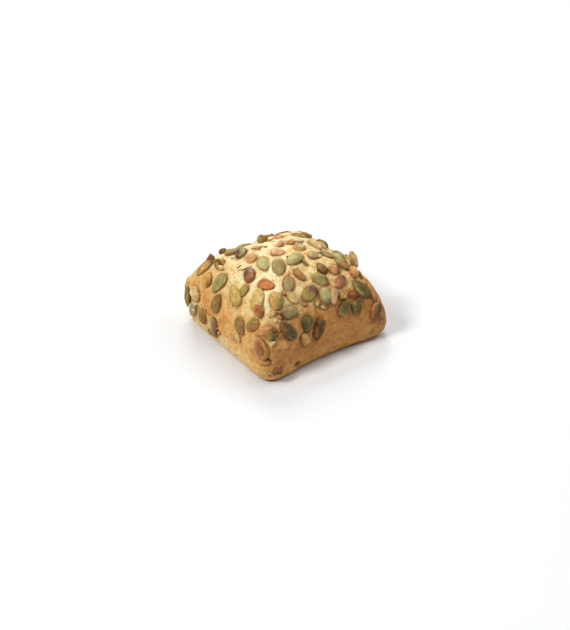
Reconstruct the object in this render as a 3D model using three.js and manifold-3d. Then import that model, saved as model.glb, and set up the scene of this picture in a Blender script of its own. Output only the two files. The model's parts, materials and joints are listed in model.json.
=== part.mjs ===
// A seeded bread roll: one baked loaf of rounded square plan, domed on top, with whole pumpkin
// seeds pressed into its crust. Every seed is its own solid and sits in its own pocket.
// Millimetres, +Z up. The origin is the centre of the spot that the roll rests on.

import * as THREE from "three";
import { mergeVertices } from "three/addons/utils/BufferGeometryUtils.js";
import Module from "manifold-3d";

const wasm = await Module();
wasm.setup();

// ---- Driving dimensions ----

const CROWN_HEIGHT = 50;      // top of the crust over the resting face
const WAIST_HEIGHT = 14;      // widest level, halfway along a side
const FOOT_INSET = 4;         // how far the foot lies inside the waist
const FLAT_SHARE = 0.8;       // share of the foot's radius that is truly flat
const CORNER_BLEND = 9;       // mm of outline over which a corner is blended away
const BLEND_REACH = 3;        // how many blend lengths a corner's softening reaches
const ROUNDNESS = 0.6;        // how far the level rings turn to circles towards the crown
const DOME_POWER = 2;
const DOME_ROOT = 1.9;

// The corners before blending, in order round the outline. nose is the height of the widest
// level there, lift is how far the foot clears the table, and hollow is how far the side after
// it is drawn in at its middle.
const CORNERS = [
  { at: [40, 40], nose: 14, lift: 1, hollow: 2 },
  { at: [-42.5, 42.5], nose: 18, lift: 1.3, hollow: 0 },
  { at: [-41, -43], nose: 14, lift: 0.3, hollow: 4 },
  { at: [43.5, -41.5], nose: 13, lift: 1.1, hollow: 2 },
];

const OUTLINE_STEPS = 300;
const AROUND = 48;
const ROWS = 24;
const FOOT_ROW = 7 / 12;      // share of the lower rows that shape the side, the rest are flat

const SEED_THICKNESS = 3;
const SEED_SIT = 0.3;         // height of a seed's middle plane over the crust
const SEED_SIDES = 8;
const SEED_BANDS = 5;
const SEED_TAPER = 0.45;      // how much narrower the tip is than the broad end
const POCKET_GAP = 0.35;      // clearance between a seed and the crust

const CRUST = { color: 0xd9ab6c, roughness: 0.85, metalness: 0 };
const TONES = {
  green: { color: 0x6f6f3c, roughness: 0.5, metalness: 0 },
  olive: { color: 0x9c8c4e, roughness: 0.55, metalness: 0 },
  gold: { color: 0xc39a4d, roughness: 0.55, metalness: 0 },
  brown: { color: 0x9a6437, roughness: 0.5, metalness: 0 },
  plum: { color: 0x6f4a3c, roughness: 0.4, metalness: 0 },
};

// ---- Where the seeds lie ----

// A lean is a place on the crust seen from the core: its length is the angle from straight up,
// and its direction is the bearing. Both numbers are degrees, along X and along Y.
const CORE = new THREE.Vector3(0, 0, 12);

// from is a seed's broad end and to its tip. tilt turns a seed up on its edge and pitch lifts
// its tip, both in degrees. proud is how much further than the others it stands out, in mm.
const SHOWN_SEEDS = [
  { from: [17, 24], to: [3, 27], width: 7, tone: "gold" },
  { from: [-12, 4], to: [-2, -4], width: 6, tone: "brown" },
  { from: [20, 21], to: [34, 17], width: 6, tone: "green" },
  { from: [7, -2], to: [17, -5], width: 6, tone: "brown" },
  { from: [29, 7], to: [30, -9], width: 6, tone: "olive" },
  { from: [44, 13], to: [44, 0], width: 6, tone: "green", proud: 1 },
  { from: [45, -9], to: [45, -22], width: 5.5, tone: "olive", proud: 0.5 },
  { from: [33, -17], to: [38, -29], width: 5.5, tone: "olive" },
  { from: [35, -36], to: [29, -26], width: 4, tone: "brown" },
  { from: [46, -33], to: [45, -20], width: 6, tone: "gold", pitch: 35, proud: 3 },
  { from: [36, -43], to: [40, -33], width: 4.5, tone: "brown" },
  { from: [46, -56], to: [35, -46], width: 6.5, tone: "green" },
  { from: [52, -57], to: [47, -45], width: 5, tone: "brown" },
  { from: [16, -36], to: [13, -26], width: 5.5, tone: "brown" },
  { from: [22, -30], to: [27, -39], width: 6.5, tone: "brown" },
  { from: [7, -12], to: [-9, -17], width: 7, tone: "green" },
  { from: [-12, -7], to: [-21, -23], width: 7, tone: "green" },
  { from: [-20, 5], to: [-26, -11], width: 6.5, tone: "olive" },
  { from: [-29, 15], to: [-21, 6], width: 6, tone: "brown" },
  { from: [-21, 26], to: [-33, 18], width: 6.5, tone: "plum" },
  { from: [-13, 38], to: [-28, 37], width: 6, tone: "olive" },
  { from: [-41, 37], to: [-54, 42], width: 6.5, tone: "gold" },
  { from: [-61, 30], to: [-50, 32], width: 6.5, tone: "gold" },
  { from: [-47, 16], to: [-63, 20], width: 7.5, tone: "green" },
  { from: [-34, 2], to: [-42, -10], width: 6.5, tone: "plum" },
  { from: [-60, -16], to: [-53, 4], width: 7, tone: "olive" },
  { from: [-77, 12], to: [-62, 11], width: 6.5, tone: "brown" },
  { from: [-61, 44], to: [-71, 36], width: 7, tone: "olive" },
  { from: [-73, 42], to: [-78, 55], width: 6, tone: "green" },
  { from: [-88, 34], to: [-76, 31], width: 6, tone: "green" },
  { from: [-80, 11], to: [-96, 12], width: 5, tone: "green" },
  { from: [-66, -20], to: [-71, -34], width: 6, tone: "olive" },
  { from: [-52, -40], to: [-64, -35], width: 6.5, tone: "olive" },
  { from: [-51, -33], to: [-39, -21], width: 7, tone: "gold" },
  { from: [-37, -16], to: [-30, -29], width: 6, tone: "brown" },
  { from: [-32, -33], to: [-38, -44], width: 7, tone: "olive" },
  { from: [-24, -53], to: [-39, -47], width: 6.5, tone: "olive" },
  { from: [-36, -67], to: [-41, -51], width: 6.5, tone: "green" },
  { from: [-45, -53], to: [-56, -45], width: 6, tone: "brown" },
  { from: [-62, -60], to: [-58, -46], width: 7.5, tone: "olive" },
  { from: [-15, -28], to: [-23, -38], width: 6.5, tone: "brown" },
  { from: [13, -44], to: [2, -34], width: 6.5, tone: "olive" },
  { from: [30, -41], to: [22, -50], width: 6, tone: "plum" },
  { from: [1, -45], to: [-16, -49], width: 7, tone: "plum" },
  { from: [7, -46], to: [4, -62], width: 6.5, tone: "plum" },
  { from: [28, -60], to: [17, -71], width: 6.5, tone: "green" },
  { from: [34, -59], to: [37, -70], width: 6, tone: "green" },
  { from: [55, -57], to: [51, -69], width: 6.5, tone: "green" },
  { from: [-18, -60], to: [-24, -72], width: 6.5, tone: "green" },
  { from: [-4, -69], to: [-16, -83], width: 5, tone: "plum", tilt: 40 },
];

// The far side carries two rows of seeds. They lie at even bearings, and each is turned by the
// golden angle from the one before.
const FAR_ROWS = [
  { lean: 57, seeds: 4, firstBearing: 16, lastBearing: 98 },
  { lean: 73, seeds: 5, firstBearing: -8, lastBearing: 112 },
];
const FAR_SEED_LENGTH = 13;   // degrees of lean
const FAR_SEED_WIDTHS = [6.5, 7, 6];
const FAR_WANDER = 4;         // degrees of lean, up and down the side
const GOLDEN_ANGLE = Math.PI * (3 - Math.sqrt(5));

// ---- The loaf ----

// The waist line as points (x, y, height, foot lift), before its corners are blended away.
function sharpWaist() {
  const points = [];
  const perSide = OUTLINE_STEPS / CORNERS.length;
  for (let side = 0; side < CORNERS.length; side += 1) {
    const here = CORNERS[side];
    const next = CORNERS[(side + 1) % CORNERS.length];
    const start = new THREE.Vector2(...here.at);
    const along = new THREE.Vector2(...next.at).sub(start);
    const inward = new THREE.Vector2(-along.y, along.x).normalize();
    for (let step = 0; step < perSide; step += 1) {
      const share = step / perSide;
      const nearHere = Math.max(0, Math.cos(Math.PI * share)) ** 2;
      const nearNext = Math.max(0, -Math.cos(Math.PI * share)) ** 2;
      const nose = nearHere * (here.nose - WAIST_HEIGHT) + nearNext * (next.nose - WAIST_HEIGHT);
      const lift = nearHere * here.lift + nearNext * next.lift;
      const plan = start.clone().addScaledVector(along, share);
      plan.addScaledVector(inward, here.hollow * 4 * share * (1 - share));
      points.push(new THREE.Vector4(plan.x, plan.y, WAIST_HEIGHT + nose, lift));
    }
  }
  return points;
}

// Each point becomes the bell-weighted mean of its neighbours, which rounds the corners.
function blended(points) {
  const stride = new THREE.Vector2(...CORNERS[0].at).distanceTo(new THREE.Vector2(...CORNERS[1].at))
    / (OUTLINE_STEPS / CORNERS.length);
  const spread = CORNER_BLEND / stride;
  const reach = Math.ceil(BLEND_REACH * spread);
  return points.map((_, index) => {
    const sum = new THREE.Vector4(0, 0, 0, 0);
    let total = 0;
    for (let step = -reach; step <= reach; step += 1) {
      const weight = Math.exp(-0.5 * (step / spread) ** 2);
      const neighbour = points[(index + step + points.length) % points.length];
      sum.add(neighbour.clone().multiplyScalar(weight));
      total += weight;
    }
    return sum.divideScalar(total);
  });
}

const WAIST = blended(sharpWaist());
const WAIST_RADIUS = WAIST.reduce((sum, point) => sum + Math.hypot(point.x, point.y), 0) / WAIST.length;

// turn is the share of the way round the outline. rise runs from -1 under the roll, through 0
// at the waist, to 1 at the crown.
function crustPoint(turn, rise) {
  const place = ((turn % 1) + 1) % 1 * WAIST.length;
  const before = WAIST[Math.floor(place) % WAIST.length];
  const after = WAIST[(Math.floor(place) + 1) % WAIST.length];
  const waist = before.clone().lerp(after, place % 1);
  const plan = new THREE.Vector2(waist.x, waist.y);
  const radius = plan.length();
  if (rise >= 0) {
    const share = Math.cos(rise * Math.PI / 2);
    const height = waist.z + (CROWN_HEIGHT - waist.z) * (1 - share ** DOME_POWER) ** (1 / DOME_ROOT);
    const circle = plan.clone().setLength(WAIST_RADIUS);
    plan.lerp(circle, ROUNDNESS * (1 - share)).multiplyScalar(share);
    return new THREE.Vector3(plan.x, plan.y, height);
  }
  if (-rise <= FOOT_ROW) {
    const slope = (1 + rise / FOOT_ROW) * Math.PI / 2;
    plan.setLength(radius - FOOT_INSET * (1 - Math.sin(slope)));
    return new THREE.Vector3(plan.x, plan.y, waist.w + (waist.z - waist.w) * (1 - Math.cos(slope)));
  }
  const share = (1 + rise) / (1 - FOOT_ROW);
  const curl = Math.max(0, share - FLAT_SHARE) / (1 - FLAT_SHARE);
  plan.setLength((radius - FOOT_INSET) * share);
  return new THREE.Vector3(plan.x, plan.y, waist.w * curl ** 2);
}

// A sphere whose every vertex is moved to its place on the crust.
function loafGeometry() {
  const geometry = new THREE.SphereGeometry(1, AROUND, ROWS).rotateX(Math.PI / 2);
  const position = geometry.getAttribute("position");
  const firstCorner = 1 / 8;
  for (let index = 0; index < position.count; index += 1) {
    const vertex = new THREE.Vector3().fromBufferAttribute(position, index);
    const turn = Math.atan2(vertex.y, vertex.x) / (2 * Math.PI) - firstCorner;
    const rise = Math.asin(THREE.MathUtils.clamp(vertex.z, -1, 1)) / (Math.PI / 2);
    position.setXYZ(index, ...crustPoint(turn, rise));
  }
  return geometry;
}

// ---- The seeds ----

// A teardrop about Y from the broad end to the tip, turned to lie along X and pressed flat.
function seedGeometry(length, width, margin) {
  const profile = [];
  for (let band = 0; band <= SEED_BANDS; band += 1) {
    const angle = Math.PI * band / SEED_BANDS;
    const along = -Math.cos(angle);
    const onAxis = band === 0 || band === SEED_BANDS;
    const radius = onAxis ? 0 : Math.sin(angle) * (1 - SEED_TAPER * along / 2);
    profile.push(new THREE.Vector2(radius, along));
  }
  const geometry = new THREE.LatheGeometry(profile, SEED_SIDES).rotateZ(-Math.PI / 2);
  return geometry.scale(length / 2 + margin, width / 2 + margin, SEED_THICKNESS / 2 + margin);
}

function leanDirection([leanX, leanY]) {
  const fromTop = THREE.MathUtils.degToRad(Math.hypot(leanX, leanY));
  const bearing = Math.atan2(leanY, leanX);
  return new THREE.Vector3(
    Math.sin(fromTop) * Math.cos(bearing),
    Math.sin(fromTop) * Math.sin(bearing),
    Math.cos(fromTop),
  );
}

// The crust at a lean, and which way it faces there.
function crustAt(lean, loaf) {
  const outside = 4 * CROWN_HEIGHT;
  const direction = leanDirection(lean);
  const start = CORE.clone().addScaledVector(direction, outside);
  const hit = new THREE.Raycaster(start, direction.negate()).intersectObject(loaf)[0];
  return { point: hit.point, facing: hit.face.normal };
}

// The place and turn of a seed, with its own X along it and its own Z out of the crust.
function seedPlacement(seed, loaf) {
  const middle = seed.from.map((value, axis) => (value + seed.to[axis]) / 2);
  const ends = [seed.from, seed.to].map((lean) => crustAt(lean, loaf));
  const centre = crustAt(middle, loaf);
  const along = ends[1].point.clone().sub(ends[0].point);
  const length = along.length();
  along.normalize();
  const out = ends[0].facing.clone().add(ends[1].facing).add(centre.facing);
  out.addScaledVector(along, -out.dot(along)).normalize();
  const across = out.clone().cross(along);
  const matrix = new THREE.Matrix4().makeBasis(along, across, out);
  matrix.multiply(new THREE.Matrix4().makeRotationX(THREE.MathUtils.degToRad(seed.tilt ?? 0)));
  matrix.multiply(new THREE.Matrix4().makeRotationY(-THREE.MathUtils.degToRad(seed.pitch ?? 0)));
  matrix.setPosition(centre.point.addScaledVector(out, SEED_SIT + (seed.proud ?? 0)));
  return { matrix, length };
}

function farSeeds() {
  const seeds = [];
  const toneNames = Object.keys(TONES);
  for (const row of FAR_ROWS) {
    for (let place = 0; place < row.seeds; place += 1) {
      const index = seeds.length;
      const share = place / (row.seeds - 1);
      const bearing = THREE.MathUtils.lerp(row.firstBearing, row.lastBearing, share);
      const centre = new THREE.Vector2(row.lean + FAR_WANDER * Math.sin(GOLDEN_ANGLE * index), 0);
      centre.rotateAround(new THREE.Vector2(), THREE.MathUtils.degToRad(bearing));
      const half = new THREE.Vector2(FAR_SEED_LENGTH / 2, 0);
      half.rotateAround(new THREE.Vector2(), GOLDEN_ANGLE * index);
      seeds.push({
        from: centre.clone().sub(half).toArray(),
        to: centre.clone().add(half).toArray(),
        width: FAR_SEED_WIDTHS[index % FAR_SEED_WIDTHS.length],
        tone: toneNames[index % toneNames.length],
      });
    }
  }
  return seeds;
}

// ---- Cutting the pockets ----

function toSolid(geometry) {
  const bare = geometry.clone();
  bare.deleteAttribute("normal");
  bare.deleteAttribute("uv");
  const merged = mergeVertices(bare);
  const mesh = new wasm.Mesh({
    numProp: 3,
    vertProperties: new Float32Array(merged.getAttribute("position").array),
    triVerts: new Uint32Array(merged.getIndex().array),
  });
  return new wasm.Manifold(mesh);
}

function toGeometry(solid) {
  const mesh = solid.getMesh();
  const geometry = new THREE.BufferGeometry();
  geometry.setAttribute("position", new THREE.BufferAttribute(mesh.vertProperties, 3));
  geometry.setIndex(new THREE.BufferAttribute(mesh.triVerts, 1));
  geometry.computeVertexNormals();
  return geometry;
}

// ---- The roll ----

function bakedRoll() {
  const group = new THREE.Group();
  const bareLoaf = new THREE.Mesh(loafGeometry());
  let crust = toSolid(bareLoaf.geometry);
  const seeds = [...SHOWN_SEEDS, ...farSeeds()];
  seeds.forEach((seed, index) => {
    const { matrix, length } = seedPlacement(seed, bareLoaf);
    const pocket = seedGeometry(length, seed.width, POCKET_GAP).applyMatrix4(matrix);
    crust = crust.subtract(toSolid(pocket));
    const mesh = new THREE.Mesh(
      seedGeometry(length, seed.width, 0),
      new THREE.MeshStandardMaterial(TONES[seed.tone]),
    );
    mesh.applyMatrix4(matrix);
    mesh.name = `pumpkin_seed_${String(index + 1).padStart(2, "0")}`;
    group.add(mesh);
  });
  const loaf = new THREE.Mesh(toGeometry(crust), new THREE.MeshStandardMaterial(CRUST));
  loaf.name = "loaf";
  group.add(loaf);
  return group;
}

// The roll is slid so that the middle of its whole box stands over the origin.
const breadRoll = bakedRoll();
const box = new THREE.Box3().setFromObject(breadRoll, true);
const middle = box.getCenter(new THREE.Vector3());
breadRoll.position.set(-middle.x, -middle.y, -box.min.z);

export default breadRoll;
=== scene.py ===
import json
import math

import bmesh
import bpy
import numpy as np
from mathutils import Matrix, Vector, noise
from mathutils.bvhtree import BVHTree


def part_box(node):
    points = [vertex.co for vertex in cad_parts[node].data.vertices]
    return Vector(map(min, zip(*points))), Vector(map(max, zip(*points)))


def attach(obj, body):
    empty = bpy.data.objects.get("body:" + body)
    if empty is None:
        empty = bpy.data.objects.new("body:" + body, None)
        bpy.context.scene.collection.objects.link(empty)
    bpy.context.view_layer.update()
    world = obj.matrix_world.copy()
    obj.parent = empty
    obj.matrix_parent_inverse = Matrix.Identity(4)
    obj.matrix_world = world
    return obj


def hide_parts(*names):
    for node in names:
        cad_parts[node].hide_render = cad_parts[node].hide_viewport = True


# A small baked roll: one wheat loaf of rounded square plan with whole, split and broken pumpkin
# seeds baked into its crust. Sizes are in millimetres and become metres when a piece is settled.

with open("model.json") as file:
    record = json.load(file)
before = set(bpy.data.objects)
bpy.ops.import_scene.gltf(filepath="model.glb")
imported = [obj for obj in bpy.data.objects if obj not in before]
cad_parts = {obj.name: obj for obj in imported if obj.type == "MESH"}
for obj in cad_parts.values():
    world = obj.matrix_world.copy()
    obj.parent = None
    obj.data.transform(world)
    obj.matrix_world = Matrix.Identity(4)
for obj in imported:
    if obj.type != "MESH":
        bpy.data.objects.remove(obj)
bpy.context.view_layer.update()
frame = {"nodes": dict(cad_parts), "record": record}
metre = 1000.0  # in millimetres
random = np.random.default_rng(20)


def addNode(tree, kind, inputs=None, **settings):
    # One node with its settings. An input's value is a number, or a node or socket to link from.
    node = tree.nodes.new(kind)
    for name, value in settings.items():
        setattr(node, name, value)
    for key, value in (inputs or {}).items():
        if isinstance(value, bpy.types.Node):
            value = next(output for output in value.outputs if output.enabled)
        if isinstance(value, bpy.types.NodeSocket):
            tree.links.new(value, node.inputs[key])
        else:
            node.inputs[key].default_value = value
    return node


def linearColour(hexCode):
    channels = [int(hexCode[at:at + 2], 16) / 255 for at in (0, 2, 4)]
    return [c / 12.92 if c <= 0.04045 else ((c + 0.055) / 1.055) ** 2.4 for c in channels] + [1.0]


def smoothStep(low, high, value):
    share = np.clip((value - low) / (high - low), 0, 1)
    return share * share * (3 - 2 * share)


def cloud(points, size, variant=0.0):
    # Soft noise of about -1 to 1 at each point, with lumps about size across.
    shift = Vector((variant * 7.1, variant * 3.7, variant * 5.3))
    return np.array([noise.noise(Vector(p) / size + shift) for p in points])


def vertexArray(mesh):
    places = np.zeros(len(mesh.vertices) * 3, np.float32)
    mesh.vertices.foreach_get("co", places)
    return places.reshape(-1, 3).astype(float)


def setVertices(mesh, places):
    mesh.vertices.foreach_set("co", np.asarray(places, np.float32).ravel())
    mesh.update()


def setAttribute(mesh, name, values, kind="FLOAT", field="value"):
    # One number, colour or vector for each of the mesh's points.
    layer = mesh.attributes.get(name) or mesh.attributes.new(name, kind, "POINT")
    layer.data.foreach_set(field, np.asarray(values, np.float32).ravel())


def levelDirection(bearing):
    # A level direction from its bearing in degrees, counted anticlockwise from +X.
    turned = math.radians(bearing)
    return Vector((math.cos(turned), math.sin(turned), 0))


def meshFrom(grown, name):
    # A new mesh from the built one, which is then freed.
    mesh = bpy.data.meshes.new(name)
    grown.to_mesh(mesh)
    grown.free()
    return mesh


def surfaceTree(points, mesh):
    # A surface to cast rays on: the mesh's faces with their corners at the given points.
    return BVHTree.FromPolygons([Vector(p) for p in points], [tuple(f.vertices) for f in mesh.polygons])


def newPiece(name, mesh):
    piece = bpy.data.objects.new(name, mesh)
    bpy.context.scene.collection.objects.link(piece)
    return piece


def settle(piece, slotName, *nodes):
    # A finished piece goes from millimetres to metres, rides on the roll and hides the solids that it stands
    # for.
    piece.data.transform(Matrix.Scale(1 / metre, 4))
    piece.data.shade_smooth()
    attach(piece, "root")
    if nodes:
        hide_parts(*nodes)


def growMesh(piece):
    # Gives the piece the mesh that its modifiers make, and takes the modifiers off.
    bpy.context.view_layer.update()
    evaluated = piece.evaluated_get(bpy.context.evaluated_depsgraph_get())
    mesh = bpy.data.meshes.new_from_object(evaluated)
    piece.modifiers.clear()
    piece.data = mesh


def addTree(piece, tree, values):
    # Each input is set by its socket's identifier, before the piece is first evaluated.
    modifier = piece.modifiers.new(tree.name, "NODES")
    modifier.node_group = tree
    sockets = {s.name: s.identifier for s in tree.interface.items_tree if s.in_out == "INPUT"}
    for name, value in values.items():
        modifier[sockets[name]] = value


def newTree(name, taken, made, numbers, wholeNumbers=()):
    # A Geometry Nodes tree with named inputs: a geometry, sizes, whole numbers and a finish.
    tree = bpy.data.node_groups.new(name, "GeometryNodeTree")
    kinds = {taken: "Geometry", **dict.fromkeys(numbers, "Float"), **dict.fromkeys(wholeNumbers, "Int"),
             "Finish": "Material"}
    for socket, kind in kinds.items():
        tree.interface.new_socket(socket, in_out="INPUT", socket_type="NodeSocket" + kind)
    tree.interface.new_socket(made, in_out="OUTPUT", socket_type="NodeSocketGeometry")
    return tree, addNode(tree, "NodeGroupInput").outputs


def endTree(tree, made, geometry, finish):
    # Every tree ends in plain geometry that wears its finish.
    real = addNode(tree, "GeometryNodeRealizeInstances", {"Geometry": geometry})
    done = addNode(tree, "GeometryNodeSetMaterial", {"Geometry": real, "Material": finish})
    addNode(tree, "NodeGroupOutput", {made: done})
    return tree


def newFinish(name, fixed):
    # A material, its tree and its shader. What is the same all over is set on the shader's own sockets.
    material = bpy.data.materials.new(name)
    material.use_nodes = True
    shader = material.node_tree.nodes["Principled BSDF"]
    for socket, value in fixed.items():
        shader.inputs[socket].default_value = value
    return material, material.node_tree, shader


crustLook = {
    # colours from the palest bake to the darkest, then specks (their colour also paints the shade of cracks),
    # spots and the painted shade in pores
    "flourPale": "fbf0c6", "cream": "f6dc9b", "golden": "ecb262", "toasted": "d68c48", "nose": "9a6848",
    "bran": "a2602f", "rust": "b97840", "poreShade": "8a5a32",
    # where each of the first four colours stands on the way from floury to toasted
    "bakeStops": [(0.0, "flourPale"), (0.22, "cream"), (0.6, "golden"), (1.0, "toasted")],
    # sizes in millimetres
    "mottleSize": 3.0, "grainSize": 0.8, "dustSize": 0.4, "rustSize": 2.2, "crackCell": 4.6, "crackBend": 1.6,
    # specks lie in some cells only, those whose colour channel passes the least pick: the cell's size
    # in millimetres and shift in metres, the largest speck and its soft edge as shares of a cell
    "specks": {
        "bran": {"cell": 2.0, "shift": (0.0, 0.0, 0.0), "channel": "Red", "leastPick": 0.48,
                 "largest": 0.15, "edge": (-0.03, 0.05), "strength": 0.7},
        "poreShade": {"cell": 5.5, "shift": (0.013, 0.029, 0.007), "channel": "Green", "leastPick": 0.8,
                 "largest": 0.045, "edge": (-0.015, 0.03), "strength": 0.5},
    },
    # how much each layer adds to the relief, and the relief's depth in millimetres
    "flakeRise": 0.5, "grainRise": 0.38, "dustRise": 0.08, "poreRise": -0.3, "crackRise": -0.25,
    "relief": 1.5, "roughness": 0.82, "ior": 1.45, "specular": 0.2,
}


def bakedWheatCrust():
    # Baked wheat dough: matt, floury and finely flaked, so the light breaks up softly all over it.
    look = crustLook
    material, tree, shader = newFinish("bakedWheatCrust",
                                       {"IOR": look["ior"], "Specular IOR Level": look["specular"]})
    where = addNode(tree, "ShaderNodeTexCoord").outputs["Object"]
    mottle = addNode(tree, "ShaderNodeTexNoise",
                     {"Vector": where, "Scale": metre / look["mottleSize"], "Detail": 5.0, "Roughness": 0.62})
    grain = addNode(tree, "ShaderNodeTexNoise",
                    {"Vector": where, "Scale": metre / look["grainSize"], "Detail": 4.0, "Roughness": 0.6})
    dust = addNode(tree, "ShaderNodeTexNoise",
                   {"Vector": where, "Scale": metre / look["dustSize"], "Detail": 2.0, "Roughness": 0.5})
    golden = addNode(tree, "ShaderNodeAttribute", attribute_name="goldShare").outputs["Fac"]
    browned = addNode(tree, "ShaderNodeAttribute", attribute_name="brownShare").outputs["Fac"]
    # The bake is uneven: the mottle moves each colour's edge about.
    uneven = addNode(tree, "ShaderNodeMapRange",
                     {"Value": mottle, "From Min": 0.3, "From Max": 0.7, "To Min": -0.22, "To Max": 0.24})
    goldEdge = addNode(tree, "ShaderNodeMath", {0: golden, 1: uneven}, operation="ADD")
    ramp = addNode(tree, "ShaderNodeValToRGB", {"Fac": goldEdge})
    for place, (position, colourName) in enumerate(look["bakeStops"]):
        stop = ramp.color_ramp.elements[place] if place < 2 else ramp.color_ramp.elements.new(position)
        stop.position = position
        stop.color = linearColour(look[colourName])
    ramp.color_ramp.interpolation = "B_SPLINE"
    brownEdge = addNode(tree, "ShaderNodeMath", {0: browned, 1: uneven, 2: browned},
                        operation="MULTIPLY_ADD", use_clamp=True)
    brownedCrust = addNode(tree, "ShaderNodeMix",
                           {"Factor": brownEdge, "A": ramp, "B": linearColour(look["nose"])},
                           data_type="RGBA")
    # Rusty freckles where the crust browned in spots, more of them the more it is baked.
    rust = addNode(tree, "ShaderNodeTexNoise",
                   {"Vector": where, "Scale": metre / look["rustSize"], "Detail": 6.0, "Roughness": 0.7})
    rustEdge = addNode(tree, "ShaderNodeMapRange",
                       {"Value": rust, "From Min": 0.53, "From Max": 0.67, "To Min": 0.0, "To Max": 0.75})
    rustMask = addNode(tree, "ShaderNodeMath", {0: rustEdge, 1: goldEdge},
                       operation="MULTIPLY", use_clamp=True)
    rusted = addNode(tree, "ShaderNodeMix",
                     {"Factor": rustMask, "A": brownedCrust, "B": linearColour(look["rust"])},
                     data_type="RGBA")
    # Fine grain lightens and darkens the skin by a few steps.
    grainShade = addNode(tree, "ShaderNodeMapRange",
                         {"Value": grain, "From Min": 0.3, "From Max": 0.7, "To Min": 0.83, "To Max": 1.17})
    skin = addNode(tree, "ShaderNodeVectorMath", {0: rusted, "Scale": grainShade}, operation="SCALE")
    # Bran, then pores: brown specks and tiny sunk holes painted dark as shade, each in some of their own
    # cells.
    for colourName, speck in look["specks"].items():
        shifted = addNode(tree, "ShaderNodeVectorMath", {0: where, 1: speck["shift"]}, operation="ADD")
        cells = addNode(tree, "ShaderNodeTexVoronoi",
                        {"Vector": shifted, "Scale": metre / speck["cell"], "Randomness": 1.0})
        pick = addNode(tree, "ShaderNodeSeparateColor", {"Color": cells.outputs["Color"]})
        size = addNode(tree, "ShaderNodeMapRange",
                       {"Value": pick.outputs[speck["channel"]], "From Min": speck["leastPick"],
                        "From Max": 1.0, "To Min": 0.0, "To Max": speck["largest"]})
        inside = addNode(tree, "ShaderNodeMath", {0: size, 1: cells.outputs["Distance"]},
                         operation="SUBTRACT")
        mask = addNode(tree, "ShaderNodeMapRange",
                       {"Value": inside, "From Min": speck["edge"][0], "From Max": speck["edge"][1],
                        "To Min": 0.0, "To Max": speck["strength"]})
        skin = addNode(tree, "ShaderNodeMix",
                       {"Factor": mask, "A": skin, "B": linearColour(look[colourName])}, data_type="RGBA")
    # Hair cracks: thin lines painted darker as shade, only where the mottle lets them show.
    bent = addNode(tree, "ShaderNodeVectorMath",
                   {0: grain.outputs["Color"], 1: [look["crackBend"] / metre] * 3, 2: where},
                   operation="MULTIPLY_ADD")
    crackCells = addNode(tree, "ShaderNodeTexVoronoi",
                         {"Vector": bent, "Scale": metre / look["crackCell"], "Randomness": 1.0},
                         feature="DISTANCE_TO_EDGE")
    crackLine = addNode(tree, "ShaderNodeMapRange",
                        {"Value": crackCells, "From Min": 0.0, "From Max": 0.05, "To Min": 1.0,
                         "To Max": 0.0})
    crackPatch = addNode(tree, "ShaderNodeMapRange",
                         {"Value": mottle, "From Min": 0.5, "From Max": 0.62, "To Min": 0.0,
                          "To Max": 0.55})
    crackMask = addNode(tree, "ShaderNodeMath", {0: crackLine, 1: crackPatch}, operation="MULTIPLY")
    cracked = addNode(tree, "ShaderNodeMix",
                      {"Factor": crackMask, "A": skin, "B": linearColour(look["bran"])}, data_type="RGBA")
    tree.links.new(cracked.outputs[2], shader.inputs["Base Color"])
    matt = addNode(tree, "ShaderNodeMapRange",
                   {"Value": grain, "From Min": 0.3, "From Max": 0.7, "To Min": look["roughness"] - 0.1,
                    "To Max": look["roughness"] + 0.12})
    tree.links.new(matt.outputs["Result"], shader.inputs["Roughness"])
    # Relief: flakes over grain over dust, with the pores (the last mask) and the cracks sunk in.
    rise = addNode(tree, "ShaderNodeMath", {0: mottle, 1: look["flakeRise"]}, operation="MULTIPLY")
    layers = ((grain, "grainRise"), (dust, "dustRise"), (mask, "poreRise"), (crackMask, "crackRise"))
    for layer, name in layers:
        rise = addNode(tree, "ShaderNodeMath", {0: layer, 1: look[name], 2: rise}, operation="MULTIPLY_ADD")
    bump = addNode(tree, "ShaderNodeBump",
                   {"Height": rise, "Strength": 1.0, "Distance": look["relief"] / metre})
    tree.links.new(bump.outputs["Normal"], shader.inputs["Normal"])
    return material


seedSkinLook = {
    "satin": {"roughness": 0.45, "specular": 0.1, "coat": 0.06, "bump": 0.8},
    "oiled": {"roughness": 0.38, "specular": 0.12, "coat": 0.3, "bump": 0.6},
    "coatRoughness": 0.08, "ior": 1.47, "relief": 0.5,
    "freckleSize": 1.6, "scorchSize": 1.1, "scorch": "6a4426", "paper": "e8d6a6",
}


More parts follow.
